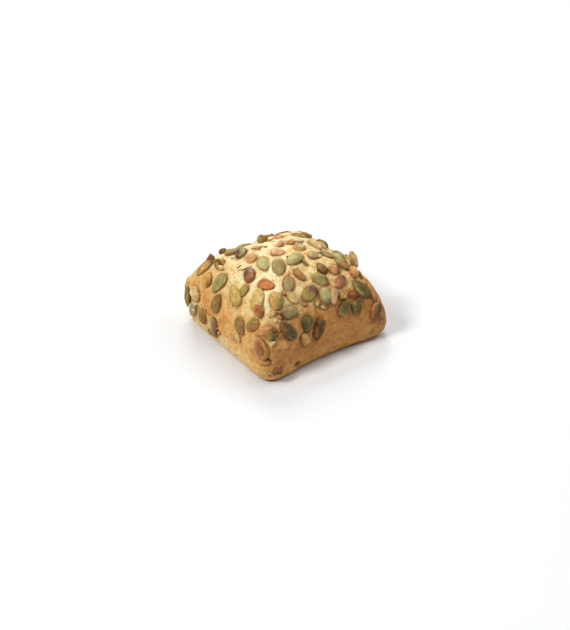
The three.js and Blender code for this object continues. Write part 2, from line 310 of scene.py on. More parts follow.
def toastedSeedSkin(name, finish):
    # The papery green-to-brown skin of a hulled pumpkin seed, toasted: satin, finely veined along
    # the seed, duller where it browned. The oiled finish is the same skin where its own oil came out.
    shared, look = seedSkinLook, seedSkinLook[finish]
    material, tree, shader = newFinish(name, {
        "IOR": shared["ior"], "Specular IOR Level": look["specular"],
        "Coat Weight": look["coat"], "Coat Roughness": shared["coatRoughness"],
    })
    where = addNode(tree, "ShaderNodeTexCoord").outputs["Object"]
    tone = addNode(tree, "ShaderNodeAttribute", attribute_name="skinTone").outputs["Color"]
    along = addNode(tree, "ShaderNodeAttribute", attribute_name="veinPlace").outputs["Vector"]
    veins = addNode(tree, "ShaderNodeTexNoise",
                    {"Vector": along, "Scale": 1.0, "Detail": 4.0, "Roughness": 0.6})
    freckles = addNode(tree, "ShaderNodeTexNoise",
                       {"Vector": where, "Scale": metre / shared["freckleSize"], "Detail": 6.0,
                        "Roughness": 0.7})
    both = addNode(tree, "ShaderNodeMath", {0: veins, 1: freckles}, operation="ADD")
    shade = addNode(tree, "ShaderNodeMapRange",
                    {"Value": both, "From Min": 0.72, "From Max": 1.3, "To Min": 0.78, "To Max": 1.3})
    toned = addNode(tree, "ShaderNodeVectorMath", {0: tone, "Scale": shade}, operation="SCALE")
    # Loose papery skin shows paler in streaks, and the toasting left small scorched spots.
    paperNoise = addNode(tree, "ShaderNodeTexNoise",
                         {"Vector": along, "Scale": 0.6, "Detail": 6.0, "Roughness": 0.72})
    paperMask = addNode(tree, "ShaderNodeMapRange",
                        {"Value": paperNoise, "From Min": 0.53, "From Max": 0.74, "To Min": 0.0,
                         "To Max": 0.5})
    papery = addNode(tree, "ShaderNodeMix",
                     {"Factor": paperMask, "A": toned, "B": linearColour(shared["paper"])}, data_type="RGBA")
    scorchNoise = addNode(tree, "ShaderNodeTexNoise",
                          {"Vector": where, "Scale": metre / shared["scorchSize"], "Detail": 4.0,
                           "Roughness": 0.65})
    scorchMask = addNode(tree, "ShaderNodeMapRange",
                         {"Value": scorchNoise, "From Min": 0.56, "From Max": 0.72, "To Min": 0.0,
                          "To Max": 0.55})
    scorched = addNode(tree, "ShaderNodeMix",
                       {"Factor": scorchMask, "A": papery, "B": linearColour(shared["scorch"])},
                       data_type="RGBA")
    tree.links.new(scorched.outputs[2], shader.inputs["Base Color"])
    dull = addNode(tree, "ShaderNodeMapRange",
                   {"Value": freckles, "From Min": 0.35, "From Max": 0.68,
                    "To Min": look["roughness"] - 0.07, "To Max": look["roughness"] + 0.2})
    tree.links.new(dull.outputs["Result"], shader.inputs["Roughness"])
    bump = addNode(tree, "ShaderNodeBump",
                   {"Height": both, "Strength": look["bump"], "Distance": shared["relief"] / metre})
    tree.links.new(bump.outputs["Normal"], shader.inputs["Normal"])
    return material


crumblyLooks = {
    # the dense oily flesh of a broken seed: slightly waxy, with a crumbly face
    "splitSeedFlesh": {"dark": "c9ac6a", "pale": "f3e2b4", "size": 1.1, "detail": 4.0, "roughness": 0.5,
                       "ior": 1.46, "bump": 0.6, "relief": 0.5},
    # flakes of bran: dry, brown and matt
    "wheatBran": {"dark": "7a4e2a", "pale": "a8753f", "size": 2.0, "detail": 3.0, "roughness": 0.8,
                  "ior": 1.5, "bump": 0.5, "relief": 0.4},
    # crumbs of the same dough as the crust: dry and chalky
    "doughCrumb": {"dark": "cf9f5e", "pale": "ecd09a", "size": 2.5, "detail": 3.0, "roughness": 0.9,
                   "ior": 1.5, "bump": 0.5, "relief": 0.4},
}


def crumblyFinish(name):
    # Small broken bits of food: each is a little lighter or darker than the next.
    look = crumblyLooks[name]
    material, tree, shader = newFinish(name, {"IOR": look["ior"], "Roughness": look["roughness"]})
    where = addNode(tree, "ShaderNodeTexCoord").outputs["Object"]
    patches = addNode(tree, "ShaderNodeTexNoise",
                      {"Vector": where, "Scale": metre / look["size"], "Detail": look["detail"]})
    ramp = addNode(tree, "ShaderNodeValToRGB", {"Fac": patches})
    for stop, position, colourName in zip(ramp.color_ramp.elements, (0.35, 0.65), ("dark", "pale")):
        stop.position = position
        stop.color = linearColour(look[colourName])
    tree.links.new(ramp.outputs["Color"], shader.inputs["Base Color"])
    bump = addNode(tree, "ShaderNodeBump",
                   {"Height": patches, "Strength": look["bump"], "Distance": look["relief"] / metre})
    tree.links.new(bump.outputs["Normal"], shader.inputs["Normal"])
    return material


crustSkin = bakedWheatCrust()
seedSkins = {"satin": toastedSeedSkin("toastedSeedSkin", "satin"),
             "oiled": toastedSeedSkin("oiledSeedSkin", "oiled")}
crumblySkins = {name: crumblyFinish(name) for name in crumblyLooks}
print("finishes made")


# The loaf as the plain solid has it, in millimetres: a rounded square at its waist, a dome over it
# and a side that curls in to a flat base.
loafShape = {
    "crown": 50.0, "waist": 14.0, "footInset": 4.0, "cornerBlend": 9.0,
    # how round the plan is at the crown, the dome's fullness, and how much of the base is flat
    "roundness": 0.6, "domePower": 2.0, "domeRoot": 1.9, "flatShare": 0.8,
    # the foot's row between waist (0) and middle of the base (1), and steps round the outline
    "footRow": 7 / 12, "outlineSteps": 300,
    # the point that every lean starts from, cuts across the mesh, and a distance outside the loaf
    "core": (0.0, 0.0, 12.0), "meshCuts": 125, "outside": 150.0,
    # corner (x, y), height of the widest level there, foot's clearance, hollow of the side after it
    "corners": [((40, 40), 14, 1, 2), ((-42.5, 42.5), 18, 1.3, 0),
                ((-41, -43), 14, 0.3, 4), ((43.5, -41.5), 13, 1.1, 2)],
}


def waistLine(shape):
    # Points (x, y, height, foot lift) round the widest level, with the corners blended away.
    perSide = shape["outlineSteps"] // 4
    points = []
    for side, (corner, nose, lift, hollow) in enumerate(shape["corners"]):
        nextCorner, nextNose, nextLift, _ = shape["corners"][(side + 1) % 4]
        start, along = np.array(corner, float), np.subtract(nextCorner, corner).astype(float)
        inward = np.array([-along[1], along[0]]) / np.hypot(*along)
        for step in range(perSide):
            share = step / perSide
            here = max(0, math.cos(math.pi * share)) ** 2
            there = max(0, -math.cos(math.pi * share)) ** 2
            height = shape["waist"] + here * (nose - shape["waist"]) + there * (nextNose - shape["waist"])
            plan = start + along * share + inward * hollow * 4 * share * (1 - share)
            points.append([*plan, height, here * lift + there * nextLift])
    points = np.array(points)
    first, second = (np.array(shape["corners"][k][0], float) for k in (0, 1))
    spread = shape["cornerBlend"] / (np.hypot(*(first - second)) / perSide)
    reach = math.ceil(3 * spread)
    steps = np.arange(-reach, reach + 1)
    weights = np.exp(-0.5 * (steps / spread) ** 2)
    return sum(w * np.roll(points, -s, axis=0) for s, w in zip(steps, weights)) / weights.sum()


def crustPlaces(directions, shape):
    # Moves each point of a unit ball to its place on the crust.
    waist = waistLine(shape)
    count = len(waist)
    meanRadius = np.hypot(waist[:, 0], waist[:, 1]).mean()
    turn = (np.arctan2(directions[:, 1], directions[:, 0]) / (2 * math.pi) - 1 / 8) % 1 * count
    rise = np.arcsin(np.clip(directions[:, 2], -1, 1)) / (math.pi / 2)
    before = np.floor(turn).astype(int) % count
    near = waist[before] + (waist[(before + 1) % count] - waist[before]) * (turn % 1)[:, None]
    plan, height, lift = near[:, :2], near[:, 2], near[:, 3]
    radius = np.hypot(plan[:, 0], plan[:, 1])
    unit = plan / radius[:, None]
    share = np.cos(np.clip(rise, 0, 1) * math.pi / 2)
    domed = (1 - share ** shape["domePower"]) ** (1 / shape["domeRoot"])
    upperZ = height + (shape["crown"] - height) * domed
    mix = (shape["roundness"] * (1 - share))[:, None]
    upper = (plan * (1 - mix) + unit * meanRadius * mix) * share[:, None]
    slope = (1 + np.clip(rise, -1, 0) / shape["footRow"]) * math.pi / 2
    side = unit * (radius - shape["footInset"] * (1 - np.sin(slope)))[:, None]
    sideZ = lift + (height - lift) * (1 - np.cos(slope))
    inner = (1 + rise) / (1 - shape["footRow"])
    curl = np.maximum(0, inner - shape["flatShare"]) / (1 - shape["flatShare"])
    under = unit * ((radius - shape["footInset"]) * inner)[:, None]
    isUpper, isSide = rise >= 0, (rise < 0) & (-rise <= shape["footRow"])
    flat = np.where(isUpper[:, None], upper, np.where(isSide[:, None], side, under))
    z = np.where(isUpper, upperZ, np.where(isSide, sideZ, lift * curl ** 2))
    return np.column_stack([flat, z])


def ballOfDough(cuts):
    # A cube cut evenly and blown up to a unit ball, so that no side has a pole.
    grown = bmesh.new()
    bmesh.ops.create_cube(grown, size=2)
    bmesh.ops.subdivide_edges(grown, edges=grown.edges[:], cuts=cuts, use_grid_fill=True)
    mesh = meshFrom(grown, "loafCrust")
    warped = np.tan(vertexArray(mesh) * math.pi / 4)
    return mesh, warped / np.linalg.norm(warped, axis=1, keepdims=True)


# How the baked dough departs from the plain solid: the crown sank a little, and two corners are
# squarer at the foot and slimmer above it.
settling = {
    "crownDrop": 0.9, "crownFade": (36, 50),
    # each corner: bearing, spread in degrees, foot's push and shoulder's draw in millimetres
    "corners": [(-43.0, 15.0, 1.3, -1.0), (-133.5, 12.0, 0.9, 0.0)],
    # the corners start this far out, and their foot and shoulder rise and fade at these heights
    "outward": (20, 36), "footRise": (0.0, 2.5), "footFade": (7, 15),
    "shoulderRise": (13, 20), "shoulderFade": (30, 40),
}


def settledDough(points):
    # Moves points of the plain loaf, or of anything on it, as the dough settled.
    look = settling
    points = np.array(points, float)
    height = points[:, 2]
    middle = points[:, :2] - np.array(core)[:2]
    level = np.maximum(np.hypot(*middle.T), 1e-6)
    bearing = np.degrees(np.arctan2(middle[:, 1], middle[:, 0]))
    low = smoothStep(*look["footRise"], height) * (1 - smoothStep(*look["footFade"], height))
    high = smoothStep(*look["shoulderRise"], height) * (1 - smoothStep(*look["shoulderFade"], height))
    outer = smoothStep(*look["outward"], level)
    for centre, spread, push, draw in look["corners"]:
        away = (bearing - centre + 180) % 360 - 180
        near = np.exp(-(away / spread) ** 2) * outer
        points[:, :2] += middle / level[:, None] * (near * (push * low + draw * high))[:, None]
    points[:, 2] -= look["crownDrop"] * smoothStep(*look["crownFade"], height)
    return points


loafMesh, ball = ballOfDough(loafShape["meshCuts"])
loafPlaces = crustPlaces(ball, loafShape)
cadLow, cadHigh = (np.array(corner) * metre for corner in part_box("loaf"))
slide = (cadLow + cadHigh) / 2 - (loafPlaces.min(0) + loafPlaces.max(0)) / 2
slide[2] = 0
loafPlaces += slide
core = Vector(loafShape["core"]) + Vector(slide)
loafPlaces = settledDough(loafPlaces)
setVertices(loafMesh, loafPlaces)
bareTree = surfaceTree(loafPlaces, loafMesh)
print("loaf shaped, slid by", slide.round(3), "mm")


def leanDirection(lean):
    # A lean is a direction from the core: its length is the angle from straight up, in degrees.
    fromTop, bearing = math.radians(math.hypot(*lean)), math.atan2(lean[1], lean[0])
    level = math.sin(fromTop)
    return Vector((level * math.cos(bearing), level * math.sin(bearing), math.cos(fromTop)))


def crustAt(lean, surface):
    # The place on the surface at the lean, and the way it faces there.
    direction = leanDirection(lean)
    point, facing, _, _ = surface.ray_cast(core + direction * loafShape["outside"], -direction)
    return point, facing


def seedPlace(seed, surface, sit):
    # A seed's own X runs from its broad end to its tip, and its own Z out of the crust.
    broad, broadFacing = crustAt(seed["from"], surface)
    tip, tipFacing = crustAt(seed["to"], surface)
    middle, facing = crustAt([(a + b) / 2 for a, b in zip(seed["from"], seed["to"])], surface)
    along = tip - broad
    length = along.length
    along.normalize()
    out = broadFacing + tipFacing + facing
    out = (out - along * out.dot(along)).normalized()
    across = out.cross(along)
    place = Matrix((along, across, out)).transposed().to_4x4()
    place = place @ Matrix.Rotation(-math.radians(seed.get("pitch", 0)), 4, "Y")
    place.translation = middle + out * (sit + seed.get("proud", 0))
    return place, length


def cadSeedPlace(node):
    # The place, length and width of a seed solid, read from its own corners.
    corners = np.unique((vertexArray(frame["nodes"][node].data) * metre).round(4), axis=0)
    gaps = np.linalg.norm(corners[:, None] - corners[None], axis=-1)
    one, other = np.unravel_index(gaps.argmax(), gaps.shape)
    middle = (corners[one] + corners[other]) / 2
    along = (corners[other] - corners[one]) / gaps.max()
    offset = corners - middle
    lengthwise = offset @ along
    sideways = offset - np.outer(lengthwise, along)
    if (lengthwise * (sideways ** 2).sum(1)).sum() > 0:  # the broad end has the larger rings
        along, lengthwise = -along, -lengthwise
    _, _, axes = np.linalg.svd(sideways, full_matrices=False)
    across = axes[0]
    out = np.cross(along, across)
    if out @ (middle - np.array(core)) < 0:
        across, out = -across, -out
    place = Matrix((along, across, out)).transposed().to_4x4()
    place.translation = Vector(middle)
    return place, gaps.max(), np.abs(offset @ across).max() * 2


seedNodes = sorted(n for n in frame["nodes"] if n.startswith("pumpkin_seed"))
cadSeeds = {node: cadSeedPlace(node) for node in seedNodes}
for place, _, _ in cadSeeds.values():
    place.translation = Vector(settledDough([place.translation])[0])

# Seeds and halves that lie between the larger ones. Each has the leans of its broad end and its
# tip, its width, its skin's colour and, where they aren't the usual ones: its thickness, how far it
# stands proud or sinks in, its pitch in degrees, how many flats it has, its second colour with the
# bearing that it comes in from and its cut (-1 all, 1 none), and flush where it dents no dough.
smallSeeds = {
    "raisedStub": {"from": (-31, 38.5), "to": (-29.6, 46), "width": 4.8, "skin": "brown", "proud": 0.3,
                   "thick": 4.2},
    "shelteredSeed": {"from": (-33, 34), "to": (-26, 27), "width": 4.8, "skin": "greyTan"},
    "underPlumSeed": {"from": (-44, -9), "to": (-53.5, -12.5), "width": 5, "skin": "khaki"},
    "leftEdgeSeed": {"from": (-61, 49), "to": (-73, 53), "width": 5.5, "skin": "olive", "proud": 0.3},
    "redHalf": {"from": (-47.5, -29.5), "to": (-49.5, -41), "width": 5.6, "skin": "redBrown", "proud": 0.7,
                "thick": 3.6, "flats": 6, "second": "orange", "bearing": 145, "cut": 0.3},
    "tanSkin": {"from": (-21.6, -48.6), "to": (-24.5, -37), "width": 5.0, "skin": "straw", "thick": 1.8},
    "slenderSeed": {"from": (-8.5, -24), "to": (-5.4, -37), "width": 4, "skin": "toast", "proud": 0.2},
    "uprightSeed": {"from": (16.5, -48.5), "to": (11, -61.5), "width": 4.8, "skin": "pinkTan", "proud": 0.5},
    "greyHalf": {"from": (12, -15), "to": (20, -19), "width": 6, "skin": "greyGreen", "thick": 2.4,
                 "second": "straw", "bearing": 145, "cut": 0.3},
    "tanHalf": {"from": (24.5, -14), "to": (33, -22.5), "width": 5, "skin": "greyTan"},
    "rightEdgeSeed": {"from": (42.6, -36), "to": (43.6, -43), "width": 2.4, "skin": "toast", "sink": 0.6},
    "splitPartner": {"from": (36, 5), "to": (38.5, -6), "width": 4.5, "skin": "straw"},
    "standingPartner": {"from": (42.5, -31.5), "to": (42.5, -21), "width": 4.2, "skin": "cream",
                        "pitch": 30, "proud": 1.3, "second": "olive", "bearing": 145, "cut": 0.55},
    "ridgeSeed": {"from": (31.5, 22), "to": (43, 22), "width": 4.5, "skin": "toast"},
    "crestSliver": {"from": (24, 6.5), "to": (13, 11), "width": 3.4, "skin": "cream", "thick": 1.6},
    "crestBit": {"from": (13.5, 5), "to": (6.5, 8), "width": 3.4, "skin": "orangeTan"},
    "crestLump": {"from": (-1.5, 10.5), "to": (4, 6.5), "width": 4.4, "skin": "pinkTan", "thick": 3.6,
                  "proud": 0.8, "second": "greyPlum", "bearing": 55, "cut": 0.1, "flats": 5},
    "skylineStump": {"from": (-6, 33.5), "to": (0.5, 29), "width": 4.8, "skin": "khaki", "thick": 4.4,
                     "pitch": 60, "proud": 0.8, "second": "brown", "bearing": -35, "cut": 0.2},
    "skylineHalf": {"from": (-3, 31), "to": (3, 27), "width": 3.6, "skin": "toast", "thick": 3.0,
                    "pitch": 32, "proud": 1.0},
    "whiteChip": {"from": (17.5, -19.7), "to": (22, -18.8), "width": 2.4, "skin": "cream", "thick": 1.4},
    "goldChipA": {"from": (-27.5, -34.5), "to": (-24.5, -39), "width": 4.4, "skin": "toast", "thick": 1.6,
                  "flats": 5},
    "greenSliverA": {"from": (4, -17), "to": (5.5, -22), "width": 1.5, "skin": "khaki", "thick": 1.0},
    "greenSliverB": {"from": (4.5, -20.5), "to": (5.5, -25.5), "width": 1.8, "skin": "olive", "thick": 1.0},
    "embeddedLump": {"from": (-68, -56.5), "to": (-60, -64), "width": 4, "skin": "orangeTan", "sink": 0.9},
    "leftStub": {"from": (-75.5, -26.5), "to": (-78, -34), "width": 4.4, "skin": "straw", "thick": 2.4},
    "reddishSpot": {"from": (-61.9, -16.0), "to": (-63.8, -19.0), "width": 2.4, "skin": "orange",
                    "sink": 1.2, "thick": 2.2, "flush": True},
    "lowLeftA": {"from": (-94, 33), "to": (-96, 24), "width": 3.0, "skin": "toast", "sink": 0.5, "flats": 5},
    "lowLeftB": {"from": (-97, 20), "to": (-96, 12), "width": 2.6, "skin": "orangeTan", "sink": 0.9},
    "orangeBit": {"from": (-18, -52.6), "to": (-13.5, -53), "width": 2.2, "skin": "orange", "thick": 1.6,
                  "flats": 5},
    "greenBit": {"from": (-7, -56), "to": (-3.2, -57.6), "width": 3.2, "skin": "straw", "thick": 2.4,
                 "flats": 5, "second": "khaki", "bearing": 145, "cut": 0.2},
    "tanBit": {"from": (-2.8, -59.6), "to": (4.4, -62), "width": 2.4, "skin": "straw", "thick": 1.8,
               "flats": 4},
    "shoulderChipA": {"from": (20.5, -58.5), "to": (24.5, -52.5), "width": 3.2, "skin": "khaki"},
    "shoulderChipB": {"from": (21.5, -55), "to": (26.5, -57), "width": 2.8, "skin": "straw"},
    "shoulderChipC": {"from": (29, -56), "to": (36.5, -54), "width": 3.0, "skin": "redBrown", "flats": 6},
    "shoulderChipD": {"from": (36, -57.5), "to": (40, -60), "width": 3.2, "skin": "brown", "flats": 6},
    "farSeedA": {"from": (18, 60), "to": (6, 60), "width": 6, "skin": "leafGreen"},
    "farSeedB": {"from": (-24, 55), "to": (-14, 62), "width": 6.2, "skin": "gold"},
    "farSeedC": {"from": (-34, 68), "to": (-45, 62), "width": 5.6, "skin": "olive"},
    "farSeedD": {"from": (62, 30), "to": (68, 41), "width": 6.2, "skin": "toast"},
    "farSeedE": {"from": (31, 47), "to": (25, 58), "width": 5.4, "skin": "straw"},
    "farSeedF": {"from": (66, -22), "to": (72, -33), "width": 6, "skin": "leafGreen", "sink": 0.6},
    "farSeedG": {"from": (58, 4), "to": (66, 12), "width": 5.4, "skin": "redBrown"},
    "farSeedH": {"from": (2, 78), "to": (12, 83), "width": 6, "skin": "darkGreen"},
    "farSeedI": {"from": (44, 64), "to": (52, 70), "width": 5.6, "skin": "khaki"},
    "farSeedJ": {"from": (80, 2), "to": (86, 10), "width": 5.2, "skin": "plum"},
    "farSeedK": {"from": (-52, 58), "to": (-60, 66), "width": 5.6, "skin": "toast"},
    "farSeedL": {"from": (22, 66), "to": (30, 76), "width": 5.8, "skin": "greyGreen"},
}

# Broken chips, with the same values. Cuts are planes across the chip: the degrees that each faces,
# from the chip's own length, and how far out it lies as a share of half the length.
brokenChips = {
    "shellSliver": {"from": (-42.0, 32.6), "to": (-46.0, 26.4), "width": 2.6, "skin": "khaki", "thick": 3.0,
                    "second": "darkGreen", "bearing": 145, "cut": 0.0, "cuts": []},
    "edgeSliver": {"from": (-42.5, 34.8), "to": (-38.6, 31.8), "width": 1.6, "skin": "olive", "thick": 2.0,
                   "cuts": []},
    "paleShell": {"from": (-43.9, 28.2), "to": (-44.9, 22.0), "width": 2.4, "skin": "cream", "thick": 2.6,
                  "second": "gold", "bearing": 235, "cut": 0.3, "cuts": []},
    "doughyHalf": {"from": (-28.5, -69.5), "to": (-27.5, -82), "width": 5.2, "skin": "orangeTan",
                   "thick": 2.4, "second": "straw", "bearing": 55, "cut": 0.0, "cuts": [(0, 0.5)]},
    "leftSplinter": {"from": (-92.3, 6.5), "to": (-91.0, 0.5), "width": 2.2, "skin": "pinkTan", "thick": 1.4,
                     "flats": 5, "cuts": []},
    "leftSplinterB": {"from": (-88.5, -9.5), "to": (-87, -17), "width": 2.2, "skin": "orange", "thick": 1.6,
                      "sink": 0.85, "flush": True, "cuts": []},
    "greyBit": {"from": (14, 2), "to": (17, -1.5), "width": 2.6, "skin": "greyTan", "thick": 3.6,
                "cuts": [(90, 0.3)]},
    "tipStub": {"from": (-67.0, -20.2), "to": (-67.8, -24.6), "width": 3.2, "skin": "brown", "thick": 3.0,
                "flats": 5, "cuts": [(180, 0.4)]},
    "edgeShellA": {"from": (-79, -25), "to": (-77, -34), "width": 2.2, "skin": "toast", "thick": 2.4,
                   "cuts": []},
}

# The corners of each angular fragment, as shares of half its size.
fragmentShapes = {
    "peak": [(-1, -1, -1), (1, -1, -1), (1, 1, -1), (-1, 1, -1), (0.6, -0.6, 1), (0.8, 0.4, 1.1),
             (-0.9, 0, 0)],
    "slab": [(-1, -0.7, -1), (0.9, -1, -1), (1, 0.8, -1), (-0.7, 1, -1), (-0.9, -0.6, 0.7), (0.7, -0.8, 1),
             (0.9, 0.5, 0.5), (-0.6, 0.8, 1)],
    "shard": [(-1, -0.9, -1), (1, -0.9, -1), (0.1, 1, -1), (-0.9, -0.8, 1), (0.85, -0.8, 0.8),
              (0.05, 0.8, 0.5)],
    "crumb": [(-1, -0.3, -0.6), (0.3, -1, -1), (1, 0.2, -0.7), (-0.2, 1, -0.9), (-0.6, 0.4, 0.8),
              (0.5, -0.5, 1), (0.4, 0.7, 0.4)],
}
# Each fragment: lean of its middle, bearing of its length, size, shape, body and second colour, and
# where they aren't the usual ones the second colour's bearing and how far it is lifted.
fragments = {
    "skylineWedge": ((-41.7, 38.8), -35, (5.4, 4.0, 4.2), "peak", "redBrown", "brown", -35, -0.5),
    "skylineWedgeTip": ((-41.0, 40.4), -35, (1.5, 1.3, 3.0), "crumb", "olive", "khaki", 235, -0.3),
    "flatOrangeChip": ((-15.8, 17.2), -50, (5.4, 3.8, 1.5), "crumb", "pinkTan", "orange", -35),
    "flatOrangeBit": ((-9.8, 13.6), -20, (2.4, 1.8, 1.2), "crumb", "orangeTan", "toast"),
    "brokenKernelA": ((-39.8, 27.0), 20, (3.4, 2.8, 2.8), "crumb", "orangeTan", "brown", 145),
    "brokenKernelB": ((-41.9, 28.6), 80, (2.6, 2.2, 2.2), "crumb", "redBrown", "darkBrown", 90),
    "greenCrumb": ((-34.0, 24.1), -40, (1.7, 0.9, 0.7), "crumb", "straw", "khaki"),
    "crumbledA": ((-42.7, -43.6), -20, (2.8, 2.0, 1.8), "shard", "straw", "toast", 145),
    "crumbledB": ((-40.1, -44.9), 40, (2.4, 1.8, 2.0), "peak", "toast", "darkBrown", -35),
    "crumbledC": ((-39.1, -48.0), -60, (2.8, 2.0, 1.8), "slab", "orangeTan", "brown", -35),
    "crumbledD": ((-42.4, -48.0), 10, (2.6, 2.0, 1.6), "shard", "cream", "toast", -35),
    "crumbledE": ((-37.4, -50.6), 60, (1.8, 1.4, 1.8), "crumb", "darkBrown", "brown", 235),
    "greenShard": ((-50.0, -53.6), 145, (8.4, 4.0, 2.6), "shard", "darkGreen", "khaki", 145),
    "paleShard": ((-52.4, -56.4), 145, (4.6, 3.4, 1.8), "shard", "cream", "straw", 145),
    "frontChip": ((-59.9, -72.6), -28, (5.4, 3.6, 2.2), "slab", "brown", "redBrown", -35, -0.1),
    "crustLump": ((-45.6, -66.2), -20, (6.4, 5.2, 2.4), "crumb", "toast", "orangeTan", 145, 0.1),
    "lumpFlakeA": ((-48.4, -61.8), 60, (2.2, 1.5, 0.9), "shard", "straw", "cream"),
    "lumpFlakeB": ((-49.8, -65.4), 100, (1.9, 1.3, 0.8), "shard", "pinkTan", "straw"),
    "lumpFlakeC": ((-44.8, -70.0), 10, (1.5, 0.9, 0.8), "slab", "straw", "toast"),
    "lumpFlakeD": ((-41.2, -63.6), -30, (2.4, 1.1, 0.9), "shard", "redBrown", "toast"),
    "whiteFlakeA": ((-72.4, 40.2), 40, (4.2, 1.0, 1.2), "shard", "cream", "chalk", 235, 1.2),
    "whiteFlakeB": ((-73.2, 37.6), 100, (3.4, 1.0, 1.2), "shard", "chalk", "greyGreen", 235, 1.2),
    "whiteFlakeC": ((-75.4, 32.0), 0, (2.6, 1.1, 0.9), "shard", "chalk", "cream"),
    "whiteFlakeD": ((-74.6, 28.4), 60, (2.4, 1.0, 0.9), "shard", "cream", "pinkTan"),
    "whiteFlakeE": ((-76.4, 42.0), 20, (3.2, 1.1, 1.2), "crumb", "chalk", "greyGreen", 235, 1.6),
    "whiteFlakeF": ((-88.0, 6.5), 80, (2.4, 1.2, 0.9), "shard", "cream", "pinkTan", 235, 0.3),
    "redFlakeA": ((-77.0, 25.0), 70, (2.2, 1.3, 1.2), "crumb", "redBrown", "orange"),
    "redFlakeB": ((-79.6, 22.4), 60, (2.0, 1.1, 0.9), "crumb", "orange", "redBrown"),
    "redFlakeC": ((-78.4, 24.4), 110, (2.0, 1.2, 0.8), "crumb", "redBrown", "brown"),
    "tipCrumbA": ((-66.4, -70.4), -40, (1.6, 1.0, 0.8), "crumb", "redBrown", "brown"),
    "crownCrumbA": ((-4.0, -9.5), 10, (2.0, 1.2, 0.9), "crumb", "orange", "redBrown"),
    "crownCrumbB": ((2.2, -12.4), 80, (1.6, 1.0, 0.8), "crumb", "straw", "toast"),
    "sideCrumbA": ((13.0, -44.5), 20, (2.6, 1.6, 1.4), "shard", "brown", "redBrown"),
    "farCrumbA": ((38.0, 56.0), 20, (3.0, 2.2, 1.8), "crumb", "toast", "brown"),
    "farCrumbB": ((-6.0, 66.0), 70, (2.8, 1.8, 1.6), "slab", "orangeTan", "redBrown"),
    "farCrumbC": ((56.0, 48.0), -20, (3.4, 2.4, 1.8), "shard", "olive", "darkGreen"),
    "farCrumbD": ((72.0, -6.0), 40, (2.6, 2.0, 1.4), "crumb", "cream", "straw"),
    "farCrumbE": ((-40.0, 76.0), 0, (3.0, 2.0, 1.6), "crumb", "redBrown", "brown"),
    "farCrumbF": ((84.0, 24.0), 30, (2.8, 1.8, 1.4), "slab", "toast", "brown"),
}


# Millimetres that a seed's middle stands over the crust, and that a fragment is pressed into it.
sitting = {"seedSit": 0.3, "fragmentSink": 0.3}


def fragmentPlace(lean, bearing, thick, lift):
    # A fragment's own X is its length and its own Z points out of the crust.
    point, facing = crustAt(lean, bareTree)
    heading = levelDirection(bearing)
    along = (heading - facing * heading.dot(facing)).normalized()
    place = Matrix((along, facing.cross(along), facing)).transposed().to_4x4()
    place.translation = point + facing * (thick / 2 - sitting["fragmentSink"] + lift)
    return place


for table in (smallSeeds, brokenChips):
    for seed in table.values():
        seed["place"], seed["length"] = seedPlace(seed, bareTree, sitting["seedSit"] - seed.get("sink", 0))
print(len(cadSeeds), "seeds from the frame,", len(smallSeeds) + len(brokenChips), "smaller ones placed")


# Millimetres, with places as leans.
crustRelief = {
    # round each seed: how far out the dough climbs, how far below the seed's middle its lip ends, how
    # much lower it lies under the seed, the most that it moves down and up, and how far the seed
    # works on it past its ends and below its middle
    "lipReach": 2.4, "lipHeight": 0.6, "sinkUnder": 0.5, "press": (-2.5, 1.1), "beyondEnds": 5.0,
    "deepest": -4.5,
    # as shares of the way out to the seed's rim: where the hollow under it ends, where the rim browns and is
    # painted with shade
    "hollowFade": (0.6, 0.98), "rimFade": (1.0, 1.45), "seedTaper": 0.45,
    # unevenness of lips and wrinkles: size across and strength, and the wrinkles' mean
    "lipNoise": (2.5, 0.07), "wrinkleNoise": (1.5, 0.5), "wrinkleMean": 0.75, "lumpNoise": (1.6, 0.5),
    # heights over which the foot passes into the free crust, which alone is wrinkled
    "freeRise": (0.4, 5.0),
    # swells, lumps and flakes over the whole crust: size across and height
    "swell": (17.0, 0.55), "lump": (6.0, 0.34), "flake": (2.1, 0.3),
    # a pit and some pores, painted dark brown inside as shade: place, size and depth, then lumps: place, size
    # and height
    "hollows": [((-44.3, -88.2), 2.3, 1.9), ((-49, -79), 0.7, 0.6), ((-52, -52), 0.5, 0.4),
                ((-36, -84), 0.6, 0.6), ((12, -84), 0.6, 0.5)],
    "lumps": [((-45, -65.5), 4.6, 1.5), ((-41, -67.5), 2.6, 0.8), ((-63, -60), 3.5, 0.5)],
    # seeds that stand off the crust, so the dough under them is lower, and by how much
    "standing": {"pumpkin_seed_10": 4.0, "pumpkin_seed_50": 0.6, "pumpkin_seed_06": 0.5},
    # each wrinkle: the leans along it
    "wrinkles": [
        [(-35.6, 10.9), (-37.6, 11.7), (-39.6, 11.8)],
        [(-30.6, 2.6), (-34.0, 4.6), (-37.4, 6.2), (-40.0, 8.8)],
        [(-10.4, 17.8), (-12.4, 15.0), (-15.8, 13.4), (-17.6, 16.2), (-19.5, 20.4)],
        [(-42.4, -3.4), (-40.9, -2.7), (-39.5, -3.6)],
        [(-24.8, 14.0), (-27.5, 12.5), (-30.0, 9.5)],
        [(-26.9, 5.2), (-27.6, 3.4), (-27.4, 0.6)],
        [(-3.0, -21.0), (-5.5, -23.5), (-9.5, -23.0)],
        [(-18.5, -27.0), (-14.5, -26.0), (-12.0, -23.0)],
        [(8.0, -26.0), (10.0, -30.0), (8.5, -34.0)],
        [(26.0, 28.0), (20.0, 33.0), (12.0, 34.0)],
        [(-2.0, 56.0), (6.0, 60.0), (13.0, 59.0)],
        [(50.0, 20.0), (54.0, 26.0), (53.0, 32.0)],
    ],
    "wrinkleHeight": 0.6, "wrinkleWidth": 0.7,
}


